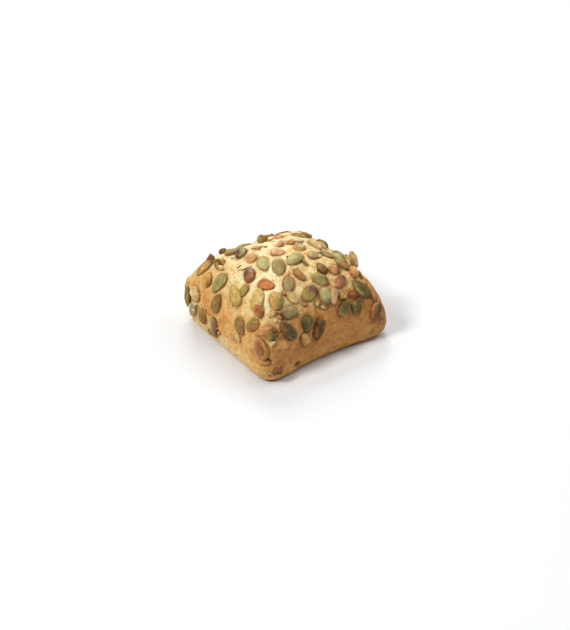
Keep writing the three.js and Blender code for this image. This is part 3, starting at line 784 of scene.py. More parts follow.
def seedDistance(places, place, length, width):
    # How far each place lies out along the seed's plan, 1 at its rim, and its height over its plane.
    local = (places - np.array(place.translation)) @ np.array(place.to_3x3())
    x = local[:, 0] / (length / 2)
    y = local[:, 1] / (width / 2 * (1 - crustRelief["seedTaper"] * np.clip(x, -1, 1) / 2))
    return np.hypot(x, y), local[:, 2]


def pressSeeds(places, seeds):
    # The dough sinks under each seed and climbs a little way up its rim.
    look = crustRelief
    places = places.copy()
    rimShare = np.zeros(len(places))
    for place, length, width, lifted in seeds:
        centre = np.array(place.translation)
        outermost = length / 2 + look["beyondEnds"]
        near = np.nonzero(((places - centre) ** 2).sum(1) < outermost ** 2)[0]
        far, height = seedDistance(places[near], place, length, width)
        reach = 1 + look["lipReach"] / (width / 2)
        fade = 1 - smoothStep(1.0, reach, far)
        size, strength = look["lipNoise"]
        level = strength * cloud(places[near], size, 3) - look["lipHeight"] - lifted
        level -= look["sinkUnder"] * (1 - smoothStep(*look["hollowFade"], far))
        move = np.clip(level - height, *look["press"]) * fade * (height > look["deepest"])
        places[near] += np.outer(move, np.array(place.to_3x3().col[2]))
        # rimShare also marks where the crust round the seed is browned and painted with its shade
        rimShare[near] = np.maximum(rimShare[near], 1 - smoothStep(*look["rimFade"], far))
    return places, rimShare


def crustGap(places, lean):
    # How far each place is from the crust at the lean.
    return np.linalg.norm(places - np.array(crustAt(lean, bareTree)[0]), axis=1)


def workCrust(mesh, places, seeds):
    # Wrinkles, lumps and hollows, then the seeds. The foot and the base stay as they are.
    look = crustRelief
    out = places - np.array(core)
    out /= np.linalg.norm(out, axis=1, keepdims=True)
    free = smoothStep(*look["freeRise"], places[:, 2])
    places = places.copy()
    creases = np.zeros(len(places))
    for line in look["wrinkles"]:
        points = [crustAt(lean, bareTree)[0] for lean in line]
        for start, end in zip(points, points[1:]):
            run = np.array(end - start)
            offset = places - np.array(start)
            share = np.clip(offset @ run / (run @ run), 0, 1)
            gap = np.linalg.norm(offset - np.outer(share, run), axis=1)
            # creases also carries painted shade: the crust is browned along each wrinkle's line
            creases = np.maximum(creases, np.exp(-(gap / look["wrinkleWidth"]) ** 2))
    size, strength = look["wrinkleNoise"]
    moves = look["wrinkleHeight"] * creases * (look["wrinkleMean"] + strength * cloud(places, size, 8))
    grain, strength = look["lumpNoise"]
    for lean, size, height in look["lumps"]:
        bell = np.exp(-(crustGap(places, lean) / size * 1.4) ** 2)
        moves += height * bell * (1 + strength * cloud(places, grain, 5))
    dark = np.zeros(len(places))
    # each hollow is also painted dark brown as its shade
    for lean, size, depth in look["hollows"]:
        hollow = 1 - smoothStep(0.45 * size, 1.15 * size, crustGap(places, lean))
        moves -= depth * hollow
        dark = np.maximum(dark, hollow)
    places += out * (moves * free)[:, None]
    places, rimShare = pressSeeds(places, seeds)
    setVertices(mesh, places)
    setAttribute(mesh, "reliefMask", free * (1 - 0.6 * rimShare))
    return creases, rimShare, dark


allSeeds = [(place, length, width, crustRelief["standing"].get(node, 0.0))
            for node, (place, length, width) in cadSeeds.items()]
for table in (smallSeeds, brokenChips):
    for seed in table.values():
        if not seed.get("flush"):
            # a pitched seed rests on one end, so the dough stays lower under the other
            raised = seed.get("proud", 0) * 0.8 + 0.15 + (2.0 if "pitch" in seed else 0)
            allSeeds.append((seed["place"], seed["length"], seed["width"], raised))
creases, rimShare, dark = workCrust(loafMesh, loafPlaces, allSeeds)
print("crust pressed round the seeds")


def crustReliefTree():
    # Swells, lumps and flakes over the whole crust, held back where reliefMask says so.
    layers = {"Swell": 1.0, "Lump": 2.0, "Flake": 3.0}
    sizes = [layer + measure for layer in layers for measure in (" size", " height")]
    tree, given = newTree("crustRelief", "Loaf", "Loaf", sizes)
    where = addNode(tree, "GeometryNodeInputPosition")
    total = None
    for layer, detail in layers.items():
        fine = addNode(tree, "ShaderNodeMath", {0: 1.0, 1: given[layer + " size"]}, operation="DIVIDE")
        rough = addNode(tree, "ShaderNodeTexNoise", {"Vector": where, "Scale": fine, "Detail": detail})
        signed = addNode(tree, "ShaderNodeMath", {0: rough, 1: 0.5}, operation="SUBTRACT")
        height = addNode(tree, "ShaderNodeMath", {0: signed, 1: given[layer + " height"]},
                         operation="MULTIPLY")
        total = height if total is None else addNode(tree, "ShaderNodeMath", {0: total, 1: height})
    mask = addNode(tree, "GeometryNodeInputNamedAttribute", {"Name": "reliefMask"}, data_type="FLOAT")
    held = addNode(tree, "ShaderNodeMath", {0: total, 1: mask}, operation="MULTIPLY")
    doubled = addNode(tree, "ShaderNodeMath", {0: held, 1: 2.0}, operation="MULTIPLY")
    normal = addNode(tree, "GeometryNodeInputNormal")
    push = addNode(tree, "ShaderNodeVectorMath", {0: normal, "Scale": doubled}, operation="SCALE")
    moved = addNode(tree, "GeometryNodeSetPosition", {"Geometry": given["Loaf"], "Offset": push})
    return endTree(tree, "Loaf", moved, given["Finish"])


loafCrust = newPiece("loafCrust", loafMesh)
addTree(loafCrust, crustReliefTree(), {
    "Swell size": crustRelief["swell"][0], "Swell height": crustRelief["swell"][1],
    "Lump size": crustRelief["lump"][0], "Lump height": crustRelief["lump"][1],
    "Flake size": crustRelief["flake"][0], "Flake height": crustRelief["flake"][1],
    "Finish": crustSkin,
})
growMesh(loafCrust)
crustPoints = vertexArray(loafCrust.data)
print("crust relief grown:", len(loafCrust.data.polygons), "faces")


# How far each place of the crust is baked. Heights and sizes are in millimetres, places are leans.
bake = {
    # gold: at the crown, more below it, in a band of patches, on the hot side, where the side faces
    #     # the heat (both also painted shade for the shaded side), in creases and round the seeds
    "crownGold": 0.12, "sideGold": 0.4, "crownFade": (20, 46), "bandGold": 0.2, "bandRise": (10, 18),
    "bandFade": (26, 36), "hotShadeGold": 0.24, "facingHeatShadeGold": 0.14, "creaseGold": 0.3, "rimGold": 0.12,
    # the side towards -Y lay nearest the heat and is also painted darker as its shade, and the heat came
    #     # from this level direction: from where on the crust turns to them (1 square on), and the hot side's
    #     upper end
    "hotShadeEdge": (0.35, 0.95), "hotShadeFade": (26, 38), "heat": (0.545, -0.839), "heatShadeEdge": (0.1, 0.8),
    # sizes of the broad, patchy and fine unevenness of the bake
    "broadSize": 13.0, "patchSize": 6.5, "fineSize": 2.6, "blotchSize": 4.0,
    # brown: on the corners, more where they face the heat, at the foot, on the base, on the hot side
    #     # and its patches (the heat and hot side browning also paint that side's shade), in blotches, round
    #     the seeds (partly painted shade) and in creases (painted shade)
    "cornerBrown": 0.06, "facingHeatShadeBrown": 0.46, "cornerStart": (44, 51), "footBrown": 0.28, "baseBrown": 0.3,
    "hotShadeBrown": 0.12, "hotShadePatchBrown": 0.22, "blotchBrown": 0.12, "rimBrownAndShade": 0.28, "creaseShadeBrown": 0.32,
    # just above the foot the dough stayed paler
    "paleFoot": (4, 15), "paleFootGold": 0.2, "paleFootBrown": 0.5,
    # where flour stayed on the crust, its size across, and what it takes from gold and brown
    "floury": [(-26.5, -18.4), (-28.3, -31.9), (-38.3, -25.7), (-41.6, -31.9), (-20.0, -14.0)],
    "flourySize": 2.2, "flouryGold": 0.3, "flouryBrown": 0.7,
    # where it toasted darker: place, size, how much
    "toasted": [((-68.9, 25.4), 4.5, 0.3), ((-77.8, -6.7), 6.0, 0.22), ((-65.2, 2.0), 5.0, 0.1),
                ((-55.5, -72.0), 3.6, 0.35), ((-54.0, -61.0), 3.2, 0.2), ((-57.5, -80.0), 3.0, 0.3)],
}


def bakeShares(points, creases, rimShare, dark):
    # goldShare runs from floury pale to golden, brownShare to the reddish brown of corners and foot.
    height = points[:, 2]
    middle = points[:, :2] - np.array(core)[:2]
    level = np.hypot(*middle.T)
    southward = -middle[:, 1] / np.maximum(level, 1)
    towardHeatAndShade = (bake["heat"][0] * middle[:, 0] + bake["heat"][1] * middle[:, 1]) / np.maximum(level, 1)
    # the side towards -Y and the crust facing the heat get browning that also paints their shade
    hotShadedSide = smoothStep(*bake["hotShadeEdge"], southward) * (1 - smoothStep(*bake["hotShadeFade"], height))
    facingHeatAndShade = smoothStep(*bake["heatShadeEdge"], towardHeatAndShade)
    broad = cloud(points, bake["broadSize"], 1)
    patchy = cloud(points, bake["patchSize"], 2)
    fine = cloud(points, bake["fineSize"], 4)
    uneven = height + 5 * broad + 3 * patchy
    band = smoothStep(*bake["bandRise"], height) * (1 - smoothStep(*bake["bandFade"], height))
    gold = bake["crownGold"] + bake["sideGold"] * (1 - smoothStep(*bake["crownFade"], uneven))
    gold += bake["bandGold"] * band * smoothStep(-0.2, 0.45, broad + 0.5 * patchy)
    gold += bake["hotShadeGold"] * hotShadedSide + 0.07 * patchy + 0.05 * fine
    gold += bake["creaseGold"] * creases + bake["rimGold"] * rimShare + bake["facingHeatShadeGold"] * facingHeatAndShade
    brown = bake["cornerBrown"] + bake["facingHeatShadeBrown"] * facingHeatAndShade
    brown *= smoothStep(*bake["cornerStart"], level) * smoothStep(-0.4, 0.3, patchy)
    brown += bake["footBrown"] * (1 - smoothStep(0.6, 3.0, height)) * smoothStep(-0.5, 0.4, patchy)
    brown += bake["baseBrown"] * (height < 0.6) + bake["hotShadeBrown"] * hotShadedSide
    brown += bake["hotShadePatchBrown"] * hotShadedSide * smoothStep(-0.1, 0.4, patchy + 0.6 * broad)
    brown += bake["blotchBrown"] * smoothStep(0.1, 0.5, cloud(points, bake["blotchSize"], 6))
    # a brown ring round each seed, partly baked colour and partly painted shade under its rim, and painted
    # shade along the creases
    brown += bake["rimBrownAndShade"] * smoothStep(0.55, 0.95, rimShare) + bake["creaseShadeBrown"] * creases ** 3
    floury = np.zeros(len(points))
    for lean in bake["floury"]:
        floury = np.maximum(floury, np.exp(-(crustGap(points, lean) / bake["flourySize"]) ** 2))
    gold -= bake["flouryGold"] * floury
    brown *= 1 - bake["flouryBrown"] * floury
    foot = (1 - smoothStep(*bake["paleFoot"], height)) * smoothStep(1.2, 3.0, height)
    gold -= bake["paleFootGold"] * foot
    brown *= 1 - bake["paleFootBrown"] * foot
    for lean, size, gain in bake["toasted"]:
        near = np.exp(-(crustGap(points, lean) / size) ** 2) * (1 + 0.5 * patchy)
        gold += gain * near
        brown += 0.1 * gain * near
    # painted shade: the pit and the pores are dark brown inside
    brown = np.maximum(brown, 0.95 * dark)
    return np.clip(gold, 0, 1.2), np.clip(brown, 0, 1)


goldShare, brownShare = bakeShares(crustPoints, creases, rimShare, dark)
setAttribute(loafCrust.data, "goldShare", goldShare)
setAttribute(loafCrust.data, "brownShare", brownShare)
crustTree = surfaceTree(crustPoints, loafCrust.data)
print("crust baked")


flakeEdge = {
    "step": 0.4, "width": 1.6, "height": 0.85,  # millimetres
    # round the lip: place across it, height, gold share, brown share; the steep side's brown is painted shade
    "section": [(-1.0, -0.3, 0.15, 0.0), (-0.55, 0.3, 0.1, 0.0), (-0.1, 0.8, 0.15, 0.0),
                (0.2, 1.0, 0.5, 0.1), (0.38, 0.75, 1.0, 0.6), (0.46, 0.15, 1.1, 0.95),
                (0.44, -0.4, 1.1, 1.0)],
}


def crustFlakeEdges(lines):
    # The lifted edges where the crust split: a narrow lip along each wrinkle, steep on one side, which is
    # painted dark brown as shade.
    # It is lowest at its ends, and wanders a little off the line.
    look = flakeEdge
    sides = len(look["section"])
    grown = bmesh.new()
    shares = []
    for number, line in enumerate(lines):
        corners = np.array([(*lean, 0) for lean in line], float)
        places = []
        for start, end in zip(corners, corners[1:]):
            steps = max(3, int(np.linalg.norm(end - start) * 0.7 / look["step"]))
            places += [start + (end - start) * k / steps for k in range(steps)]
        places.append(corners[-1])
        count = len(places)
        wander = cloud(np.array(places), 2.2, number) * 0.5
        found = [crustAt((p[0] + w, p[1] - w), crustTree) for p, w in zip(places, wander)]
        rings = []
        for at, (point, facing) in enumerate(found):
            along = (found[min(at + 1, count - 1)][0] - found[max(at - 1, 0)][0]).normalized()
            across = facing.cross(along)
            full = math.sin(math.pi * (at + 0.3) / (count - 0.4)) ** 0.6 * (1 + 0.6 * float(wander[at]))
            ring = []
            for aside, height, gold, brown in look["section"]:
                offset = across * (aside * look["width"] * 0.5 * full)
                offset += facing * (height * look["height"] * full)
                ring.append(grown.verts.new(point + offset))
                shares.append((gold, brown))
            rings.append(ring)
        for one, other in zip(rings, rings[1:]):
            for k in range(sides):
                grown.faces.new((one[k], one[(k + 1) % sides], other[(k + 1) % sides], other[k]))
        grown.faces.new(rings[0])
        grown.faces.new(rings[-1])
    bmesh.ops.recalc_face_normals(grown, faces=grown.faces[:])
    mesh = meshFrom(grown, "crustFlakeEdges")
    setAttribute(mesh, "goldShare", [gold for gold, _ in shares])
    setAttribute(mesh, "brownShare", [brown for _, brown in shares])
    mesh.materials.append(crustSkin)
    return mesh


settle(newPiece("crustFlakeEdges", crustFlakeEdges(crustRelief["wrinkles"])), "crust")
print("flake edges made")


def pumpkinSeedTree():
    # A ball pressed to a hulled seed: drop-shaped plan, flat faces, a ridge just inside its rim,
    # fine furrows along it and a slight bend. Its X runs from the broad end to the tip.
    sizes = ["Length", "Width", "Thickness", "Taper", "Point", "Ridge", "Furrow", "Lump", "Bend", "Variant"]
    tree, given = newTree("pumpkinSeed", "Seed", "Seed", sizes, ("Around", "Rings"))
    ball = addNode(tree, "GeometryNodeMeshUVSphere",
                   {"Segments": given["Around"], "Rings": given["Rings"], "Radius": 1.0})
    where = addNode(tree, "GeometryNodeInputPosition")
    part = addNode(tree, "ShaderNodeSeparateXYZ", {0: where}).outputs
    level = addNode(tree, "ShaderNodeCombineXYZ", {"X": part["X"], "Y": part["Y"]})
    radius = addNode(tree, "ShaderNodeVectorMath", {0: level}, operation="LENGTH").outputs["Value"]
    side = addNode(tree, "ShaderNodeMath", {0: part["Z"]}, operation="SIGN")
    steep = addNode(tree, "ShaderNodeMath", {0: part["Z"]}, operation="ABSOLUTE")
    # Plan: narrower towards the tip, and drawn to a point at the very end.
    lean = addNode(tree, "ShaderNodeMath", {0: part["X"], 1: given["Taper"]}, operation="MULTIPLY")
    narrow = addNode(tree, "ShaderNodeMath", {0: lean, 1: -0.5, 2: 1.0}, operation="MULTIPLY_ADD")
    tipward = addNode(tree, "ShaderNodeMath", {0: part["X"], 1: 0.0}, operation="MAXIMUM")
    tipOnly = addNode(tree, "ShaderNodeMath", {0: tipward, 1: 4.0}, operation="POWER")
    pointed = addNode(tree, "ShaderNodeMath", {0: tipOnly, 1: given["Point"]}, operation="MULTIPLY")
    plan = addNode(tree, "ShaderNodeMath", {0: narrow, 1: pointed}, operation="SUBTRACT")
    seedling = addNode(tree, "ShaderNodeCombineXYZ",
                       {"X": given["Variant"], "Y": given["Variant"], "Z": given["Variant"]})
    ragged = addNode(tree, "ShaderNodeVectorMath", {0: level, 1: seedling}, operation="ADD")
    outline = addNode(tree, "ShaderNodeTexNoise", {"Vector": ragged, "Scale": 1.3, "Detail": 1.0})
    outlineSize = addNode(tree, "ShaderNodeMapRange",
                          {"Value": outline, "From Min": 0.2, "From Max": 0.8, "To Min": 0.93,
                           "To Max": 1.07})
    halfLength = addNode(tree, "ShaderNodeMath", {0: given["Length"], 1: 0.5}, operation="MULTIPLY")
    halfWidth = addNode(tree, "ShaderNodeMath", {0: given["Width"], 1: 0.5}, operation="MULTIPLY")
    alongX = addNode(tree, "ShaderNodeMath", {0: part["X"], 1: halfLength}, operation="MULTIPLY")
    planned = addNode(tree, "ShaderNodeMath", {0: part["Y"], 1: plan}, operation="MULTIPLY")
    wider = addNode(tree, "ShaderNodeMath", {0: planned, 1: outlineSize}, operation="MULTIPLY")
    acrossY = addNode(tree, "ShaderNodeMath", {0: wider, 1: halfWidth}, operation="MULTIPLY")
    # Height: a full pillow, a little flatter than a ball, and thinner towards the tip.
    pillow = addNode(tree, "ShaderNodeMath", {0: steep, 1: 0.92}, operation="POWER")
    halfThick = addNode(tree, "ShaderNodeMath", {0: given["Thickness"], 1: 0.5}, operation="MULTIPLY")
    thinTip = addNode(tree, "ShaderNodeMath", {0: part["X"], 1: -0.16, 2: 1.0}, operation="MULTIPLY_ADD")
    pillowRise = addNode(tree, "ShaderNodeMath", {0: pillow, 1: halfThick}, operation="MULTIPLY")
    rise = addNode(tree, "ShaderNodeMath", {0: pillowRise, 1: thinTip}, operation="MULTIPLY")
    # The ridge is a low roll near the rim, with a shallow groove inside it: each is a bell round
    # its share of the way out.
    bells = []
    for out, narrowness in ((0.87, 11.0), (0.7, 9.0)):
        away = addNode(tree, "ShaderNodeMath", {0: radius, 1: -out}, operation="ADD")
        narrowed = addNode(tree, "ShaderNodeMath", {0: away, 1: narrowness}, operation="MULTIPLY")
        square = addNode(tree, "ShaderNodeMath", {0: narrowed, 1: narrowed}, operation="MULTIPLY")
        fall = addNode(tree, "ShaderNodeMath", {0: square, 1: -1.0}, operation="MULTIPLY")
        bells.append(addNode(tree, "ShaderNodeMath", {0: fall}, operation="EXPONENT"))
    rolled = addNode(tree, "ShaderNodeMath", {0: bells[1], 1: -0.7, 2: bells[0]}, operation="MULTIPLY_ADD")
    ridged = addNode(tree, "ShaderNodeMath", {0: rolled, 1: given["Ridge"], 2: rise},
                     operation="MULTIPLY_ADD")
    # Furrows run along the seed, and lumps are as broad as they are long.
    furrowScale = addNode(tree, "ShaderNodeVectorMath", {0: where, 1: (1.1, 8.0, 1.0)}, operation="MULTIPLY")
    furrowPlace = addNode(tree, "ShaderNodeVectorMath", {0: furrowScale, 1: seedling}, operation="ADD")
    furrows = addNode(tree, "ShaderNodeTexNoise", {"Vector": furrowPlace, "Scale": 1.0, "Detail": 2.0})
    furrowRise = addNode(tree, "ShaderNodeMath", {0: furrows, 1: -0.5}, operation="ADD")
    furrowed = addNode(tree, "ShaderNodeMath", {0: furrowRise, 1: given["Furrow"], 2: ridged},
                       operation="MULTIPLY_ADD")
    lumpPlace = addNode(tree, "ShaderNodeVectorMath", {0: where, 1: seedling}, operation="ADD")
    lumps = addNode(tree, "ShaderNodeTexNoise", {"Vector": lumpPlace, "Scale": 1.9, "Detail": 2.0})
    lumpRise = addNode(tree, "ShaderNodeMath", {0: lumps, 1: -0.5}, operation="ADD")
    lumpy = addNode(tree, "ShaderNodeMath", {0: lumpRise, 1: given["Lump"], 2: furrowed},
                    operation="MULTIPLY_ADD")
    inward = addNode(tree, "ShaderNodeMapRange",
                     {"Value": radius, "From Min": 0.86, "From Max": 1.0, "To Min": 1.0, "To Max": 0.0})
    fullness = addNode(tree, "ShaderNodeMix", {"Factor": inward, 2: rise, 3: lumpy}, data_type="FLOAT")
    facing = addNode(tree, "ShaderNodeMath", {0: fullness, 1: side}, operation="MULTIPLY")
    bowed = addNode(tree, "ShaderNodeMath", {0: part["X"], 1: part["X"]}, operation="MULTIPLY")
    bend = addNode(tree, "ShaderNodeMath", {0: bowed, 1: given["Bend"], 2: facing}, operation="MULTIPLY_ADD")
    place = addNode(tree, "ShaderNodeCombineXYZ", {"X": alongX, "Y": acrossY, "Z": bend})
    shaped = addNode(tree, "GeometryNodeSetPosition", {"Geometry": ball, "Position": place})
    return endTree(tree, "Seed", shaped, given["Finish"])


skinColours = {
    "chalk": "f6ecd2", "cream": "ead19c", "straw": "d3b374", "limeStraw": "cbaa5c", "gold": "cf9d4e",
    "honey": "b88b48", "khaki": "a98c4b", "olive": "92793a", "paleGreen": "bab074", "leafGreen": "a19156",
    "greyGreen": "a39261", "darkGreen": "675b2b", "deepGreen": "504820", "greyTan": "a48c59",
    "orangeTan": "cd8f55", "orange": "c97f4a", "pinkBrown": "b0704e", "pinkTan": "d8a67a",
    "toast": "ac7b45", "redBrown": "9d5f38", "brown": "825a34", "darkBrown": "583c22", "plum": "694437",
    "greyPlum": "6c5345",
}

# Each whole seed: body colour, second colour, the bearing that it comes in from, how far the
# second colour reaches (-1 all, 1 none), rim colour, and the finish.
seedTones = {
    "01": ("straw", "orangeTan", 235, 0.1, "toast", "satin"),
    "02": ("pinkTan", "cream", 90, 0.3, "redBrown", "satin"),
    "03": ("khaki", "olive", 145, 0.2, "toast", "satin"),
    "04": ("greyTan", "cream", 235, 0.2, "orangeTan", "satin"),
    "05": ("straw", "cream", -35, 0.1, "olive", "satin"),
    "06": ("olive", "darkGreen", -35, 0.1, "brown", "satin"),
    "07": ("greyGreen", "leafGreen", -35, 0.2, "olive", "satin"),
    "08": ("paleGreen", "leafGreen", -35, 0.2, "olive", "satin"),
    "09": ("toast", "khaki", 125, 0.1, "brown", "satin"),
    "10": ("straw", "olive", 145, 0.7, "toast", "satin"),
    "11": ("orangeTan", "straw", 55, 0.1, "redBrown", "satin"),
    "12": ("darkGreen", "straw", 190, 0.62, "deepGreen", "satin"),
    "13": ("orangeTan", "toast", -20, 0.1, "brown", "satin"),
    "14": ("brown", "olive", 100, 0.3, "darkBrown", "satin"),
    "15": ("orangeTan", "brown", -20, 0.1, "redBrown", "satin"),
    "16": ("paleGreen", "leafGreen", -60, 0.3, "olive", "satin"),
    "17": ("greyTan", "olive", -70, 0.1, "brown", "satin"),
    "18": ("paleGreen", "orangeTan", 245, 0.65, "honey", "satin"),
    "19": ("pinkTan", "orangeTan", 235, 0.35, "orangeTan", "satin"),
    "20": ("plum", "greyGreen", -20, 0.1, "greyPlum", "oiled"),
    "21": ("khaki", "toast", 55, 0.6, "olive", "satin"),
    "22": ("honey", "gold", 250, 0.2, "brown", "satin"),
    "23": ("gold", "redBrown", 255, 0.6, "olive", "satin"),
    "24": ("leafGreen", "khaki", 170, 0.5, "olive", "satin"),
    "25": ("redBrown", "plum", 75, -0.05, "darkBrown", "oiled"),
    "26": ("limeStraw", "khaki", 145, 0.3, "olive", "satin"),
    "27": ("olive", "redBrown", 55, 0.35, "brown", "satin"),
    "28": ("straw", "cream", 90, 0.3, "khaki", "satin"),
    "29": ("greyGreen", "cream", 55, 0.3, "khaki", "oiled"),
    "30": ("olive", "redBrown", -60, 0.55, "khaki", "satin"),
    "31": ("greyGreen", "brown", -70, 0.2, "deepGreen", "oiled"),
    "32": ("olive", "redBrown", -60, 0.45, "khaki", "satin"),
    "33": ("olive", "pinkBrown", 235, 0.2, "khaki", "satin"),
    "34": ("limeStraw", "straw", -60, 0.2, "olive", "satin"),
    "35": ("orange", "redBrown", 110, 0.3, "brown", "satin"),
    "36": ("gold", "olive", -50, 0.1, "brown", "oiled"),
    "37": ("greyTan", "plum", 145, 0.5, "darkBrown", "satin"),
    "38": ("deepGreen", "brown", 145, 0.35, "darkGreen", "oiled"),
    "39": ("orangeTan", "darkBrown", -50, 0.3, "redBrown", "satin"),
    "40": ("redBrown", "plum", 235, 0.6, "honey", "oiled"),
    "41": ("greyGreen", "toast", 55, 0.3, "redBrown", "satin"),
    "42": ("leafGreen", "olive", -40, 0.4, "straw", "satin"),
    "43": ("pinkBrown", "plum", 55, 0.5, "redBrown", "satin"),
    "44": ("khaki", "plum", 20, 0.15, "brown", "oiled"),
    "45": ("paleGreen", "brown", 250, 0.2, "toast", "oiled"),
    "46": ("darkGreen", "olive", 235, 0.6, "deepGreen", "oiled"),
    "47": ("darkGreen", "olive", 235, 0.5, "olive", "satin"),
    "48": ("deepGreen", "redBrown", 145, 0.1, "orangeTan", "satin"),
    "49": ("darkGreen", "deepGreen", 235, 0.2, "deepGreen", "oiled"),
    "50": ("darkBrown", "orangeTan", 145, 0.5, "greyPlum", "satin"),
    "51": ("olive", "toast", 90, 0.3, "brown", "satin"),
    "52": ("khaki", "toast", 0, 0.5, "olive", "satin"),
    "53": ("toast", "redBrown", 60, 0.2, "brown", "satin"),
    "54": ("gold", "olive", 120, 0.3, "olive", "satin"),
    "55": ("plum", "redBrown", 0, 0.1, "darkBrown", "oiled"),
    "56": ("darkGreen", "olive", 30, 0.1, "deepGreen", "satin"),
    "57": ("leafGreen", "straw", 90, 0.4, "olive", "satin"),
    "58": ("gold", "honey", 60, 0.4, "toast", "satin"),
    "59": ("toast", "darkBrown", 120, 0.4, "darkBrown", "satin"),
}
rimColourOfBody = {"cream": "straw", "straw": "toast", "gold": "toast", "orangeTan": "redBrown",
                   "paleGreen": "olive", "leafGreen": "olive", "khaki": "olive", "orange": "redBrown",
                   "honey": "brown", "darkGreen": "deepGreen", "toast": "brown", "redBrown": "brown"}

seedShape = {
    "around": 48, "rings": 26, "thickness": 4.0,
    "smallAround": 32, "smallRings": 18, "smallThickness": 3.0,
    # chance ranges of each seed's own shape
    "taper": (0.26, 0.44), "point": (0.03, 0.24), "ridge": (0.06, 0.24), "furrow": (0.08, 0.26),
    "lump": (0.4, 1.0), "bend": (-0.35, 0.2), "chipLumpiness": 1.5, "cutSlant": 0.25,
    # every seed has a few shallow flats, and a cracked one more and deeper ones
    "flats": 3, "flatAt": (0.8, 0.95), "crackedAt": (0.5, 0.78), "flatPress": 0.85, "flatLift": 0.4,
    "cracked": {"02": 5, "13": 4, "17": 4, "18": 3, "19": 7, "39": 9, "41": 5},
    # seeds that sit otherwise than their solids: shares of length and width, drop, and move
    "fitted": {"01": (0.72, 1.0, 0.9, 0), "02": (0.95, 1.05, 0.3, 0), "03": (1.0, 1.0, 1.0, 0.4),
               "06": (1.0, 1.0, 0.6, 0), "10": (1.0, 1.4, 0.0, 0.6), "11": (1.1, 1.15, 0, 0),
               "15": (0.85, 1.0, 0, -0.3), "19": (0.75, 1.25, 0.2, 0), "20": (0.85, 1.0, 0, 0),
               "21": (1.0, 0.85, 0.3, 2.4), "32": (1.0, 1.15, 0, 0.5), "34": (1.0, 1.12, 0, 0),
               "37": (0.93, 1.0, 0, -0.5), "39": (1.1, 1.0, -0.6, 0), "40": (1.0, 1.05, -0.5, 0),
               "41": (1.15, 1.0, 0.0, -0.8), "43": (1.05, 0.85, 0, -1.4), "51": (1.0, 1.0, 0.5, 0),
               "52": (0.8, 0.9, 1.4, 0)},
    "moveBearing": -35,
    # where the rim's colour starts, as a share of the way out, and how strong it is
    "rimStart": {"02": 0.7, "04": 0.6, "12": 0.78, "40": 0.55, "41": 0.66}, "usualRimStart": 0.84,
    "rimDepth": 0.7, "smallRimDepth": 0.35, "fragmentRimDepth": 0.2,
    # a second colour comes from this bearing and reaches this far, where a smaller piece names none
    "usualBearing": 235, "usualCut": 0.3, "fragmentCut": 0.35,
    # how the colours meet and vary: soft edges, then noise as size in millimetres and strength
    "secondEdge": (-0.4, 0.5), "rimEdge": 0.16, "rimRaggedness": 0.12,
    "ragged": [(3.2, 0.5), (1.1, 0.3)], "patches": [(2.6, 0.3), (0.8, 0.16)],
    # the veins' coordinates along, across and through the seed
    "veinStretch": (1.6, 9.0, 0.8),
}
seedTree = pumpkinSeedTree()


def sproutSeed(name, length, width, thick, finish, rough=1.0,
               around=seedShape["around"], rings=seedShape["rings"]):
    # An object that the seed tree turns into one seed, with its own chance values.
    shape = seedShape
    chance = {k: random.uniform(*shape[k]) for k in ("taper", "point", "ridge", "furrow", "lump", "bend")}
    piece = newPiece(name, bpy.data.meshes.new(name))
    addTree(piece, seedTree, {
        "Length": float(length), "Width": float(width), "Thickness": float(thick),
        "Taper": chance["taper"], "Point": chance["point"], "Ridge": chance["ridge"],
        "Furrow": chance["furrow"], "Lump": chance["lump"] * rough, "Bend": chance["bend"],
        "Variant": float(random.uniform(0, 60)),
        "Around": around, "Rings": rings, "Finish": finish,
    })
    return piece


def toneSeed(piece, place, length, width, tones, rimDepth, rimStart=seedShape["usualRimStart"]):
    # Paints the skin's colours and the coordinates that its veins follow, then puts the seed in place.
    look, mesh = seedShape, piece.data
    body, second, bearing, cut, rim = tones[:5]
    local = vertexArray(mesh)
    x, y = local[:, 0] / (length / 2), local[:, 1] / (width / 2)
    far = np.clip(np.hypot(x, y), 0, 1.2)
    variant = random.uniform(0, 30)
    inSeed = np.array(place.to_3x3().transposed() @ levelDirection(bearing))
    inSeed = inSeed[:2] / max(1e-6, np.hypot(inSeed[0], inSeed[1]))
    ragged = sum(strength * cloud(local, size, variant + at)
                 for at, (size, strength) in enumerate(look["ragged"]))
    patch = sum(strength * cloud(local, size, variant + 2 + at)
                for at, (size, strength) in enumerate(look["patches"])) + 1
    toSecond, beyond = look["secondEdge"]
    secondShare = smoothStep(cut + toSecond, cut + beyond, x * inSeed[0] + y * inSeed[1] + ragged)
    rimShare = smoothStep(rimStart, rimStart + look["rimEdge"], far + look["rimRaggedness"] * ragged)
    rimShare = rimShare * rimDepth
    colours = np.array([linearColour(skinColours[c]) for c in (body, second, rim)])
    skin = colours[0] + (colours[1] - colours[0]) * secondShare[:, None]
    skin += (colours[2] - skin) * rimShare[:, None]
    skin[:, :3] *= patch[:, None]
    setAttribute(mesh, "skinTone", np.clip(skin, 0, 1), "FLOAT_COLOR", "color")
    veins = np.column_stack([x, y, local[:, 2]]) * look["veinStretch"] + variant
    setAttribute(mesh, "veinPlace", veins, "FLOAT_VECTOR", "vector")
    mesh.transform(place)


def flattenSeed(piece, length, width, thick, flats, reach):
    # Presses the seed flat on a few chance sides, as a shrivelled or cracked one is.
    half = np.array([length, width, thick]) / 2
    scaled = vertexArray(piece.data) / half
    for _ in range(flats):
        normal = random.normal(size=3)
        normal[2] = abs(normal[2]) + seedShape["flatLift"]
        normal /= np.linalg.norm(normal)
        beyond = np.maximum(scaled @ normal - random.uniform(*reach), 0)
        scaled -= np.outer(beyond, normal) * seedShape["flatPress"]
    setVertices(piece.data, scaled * half)


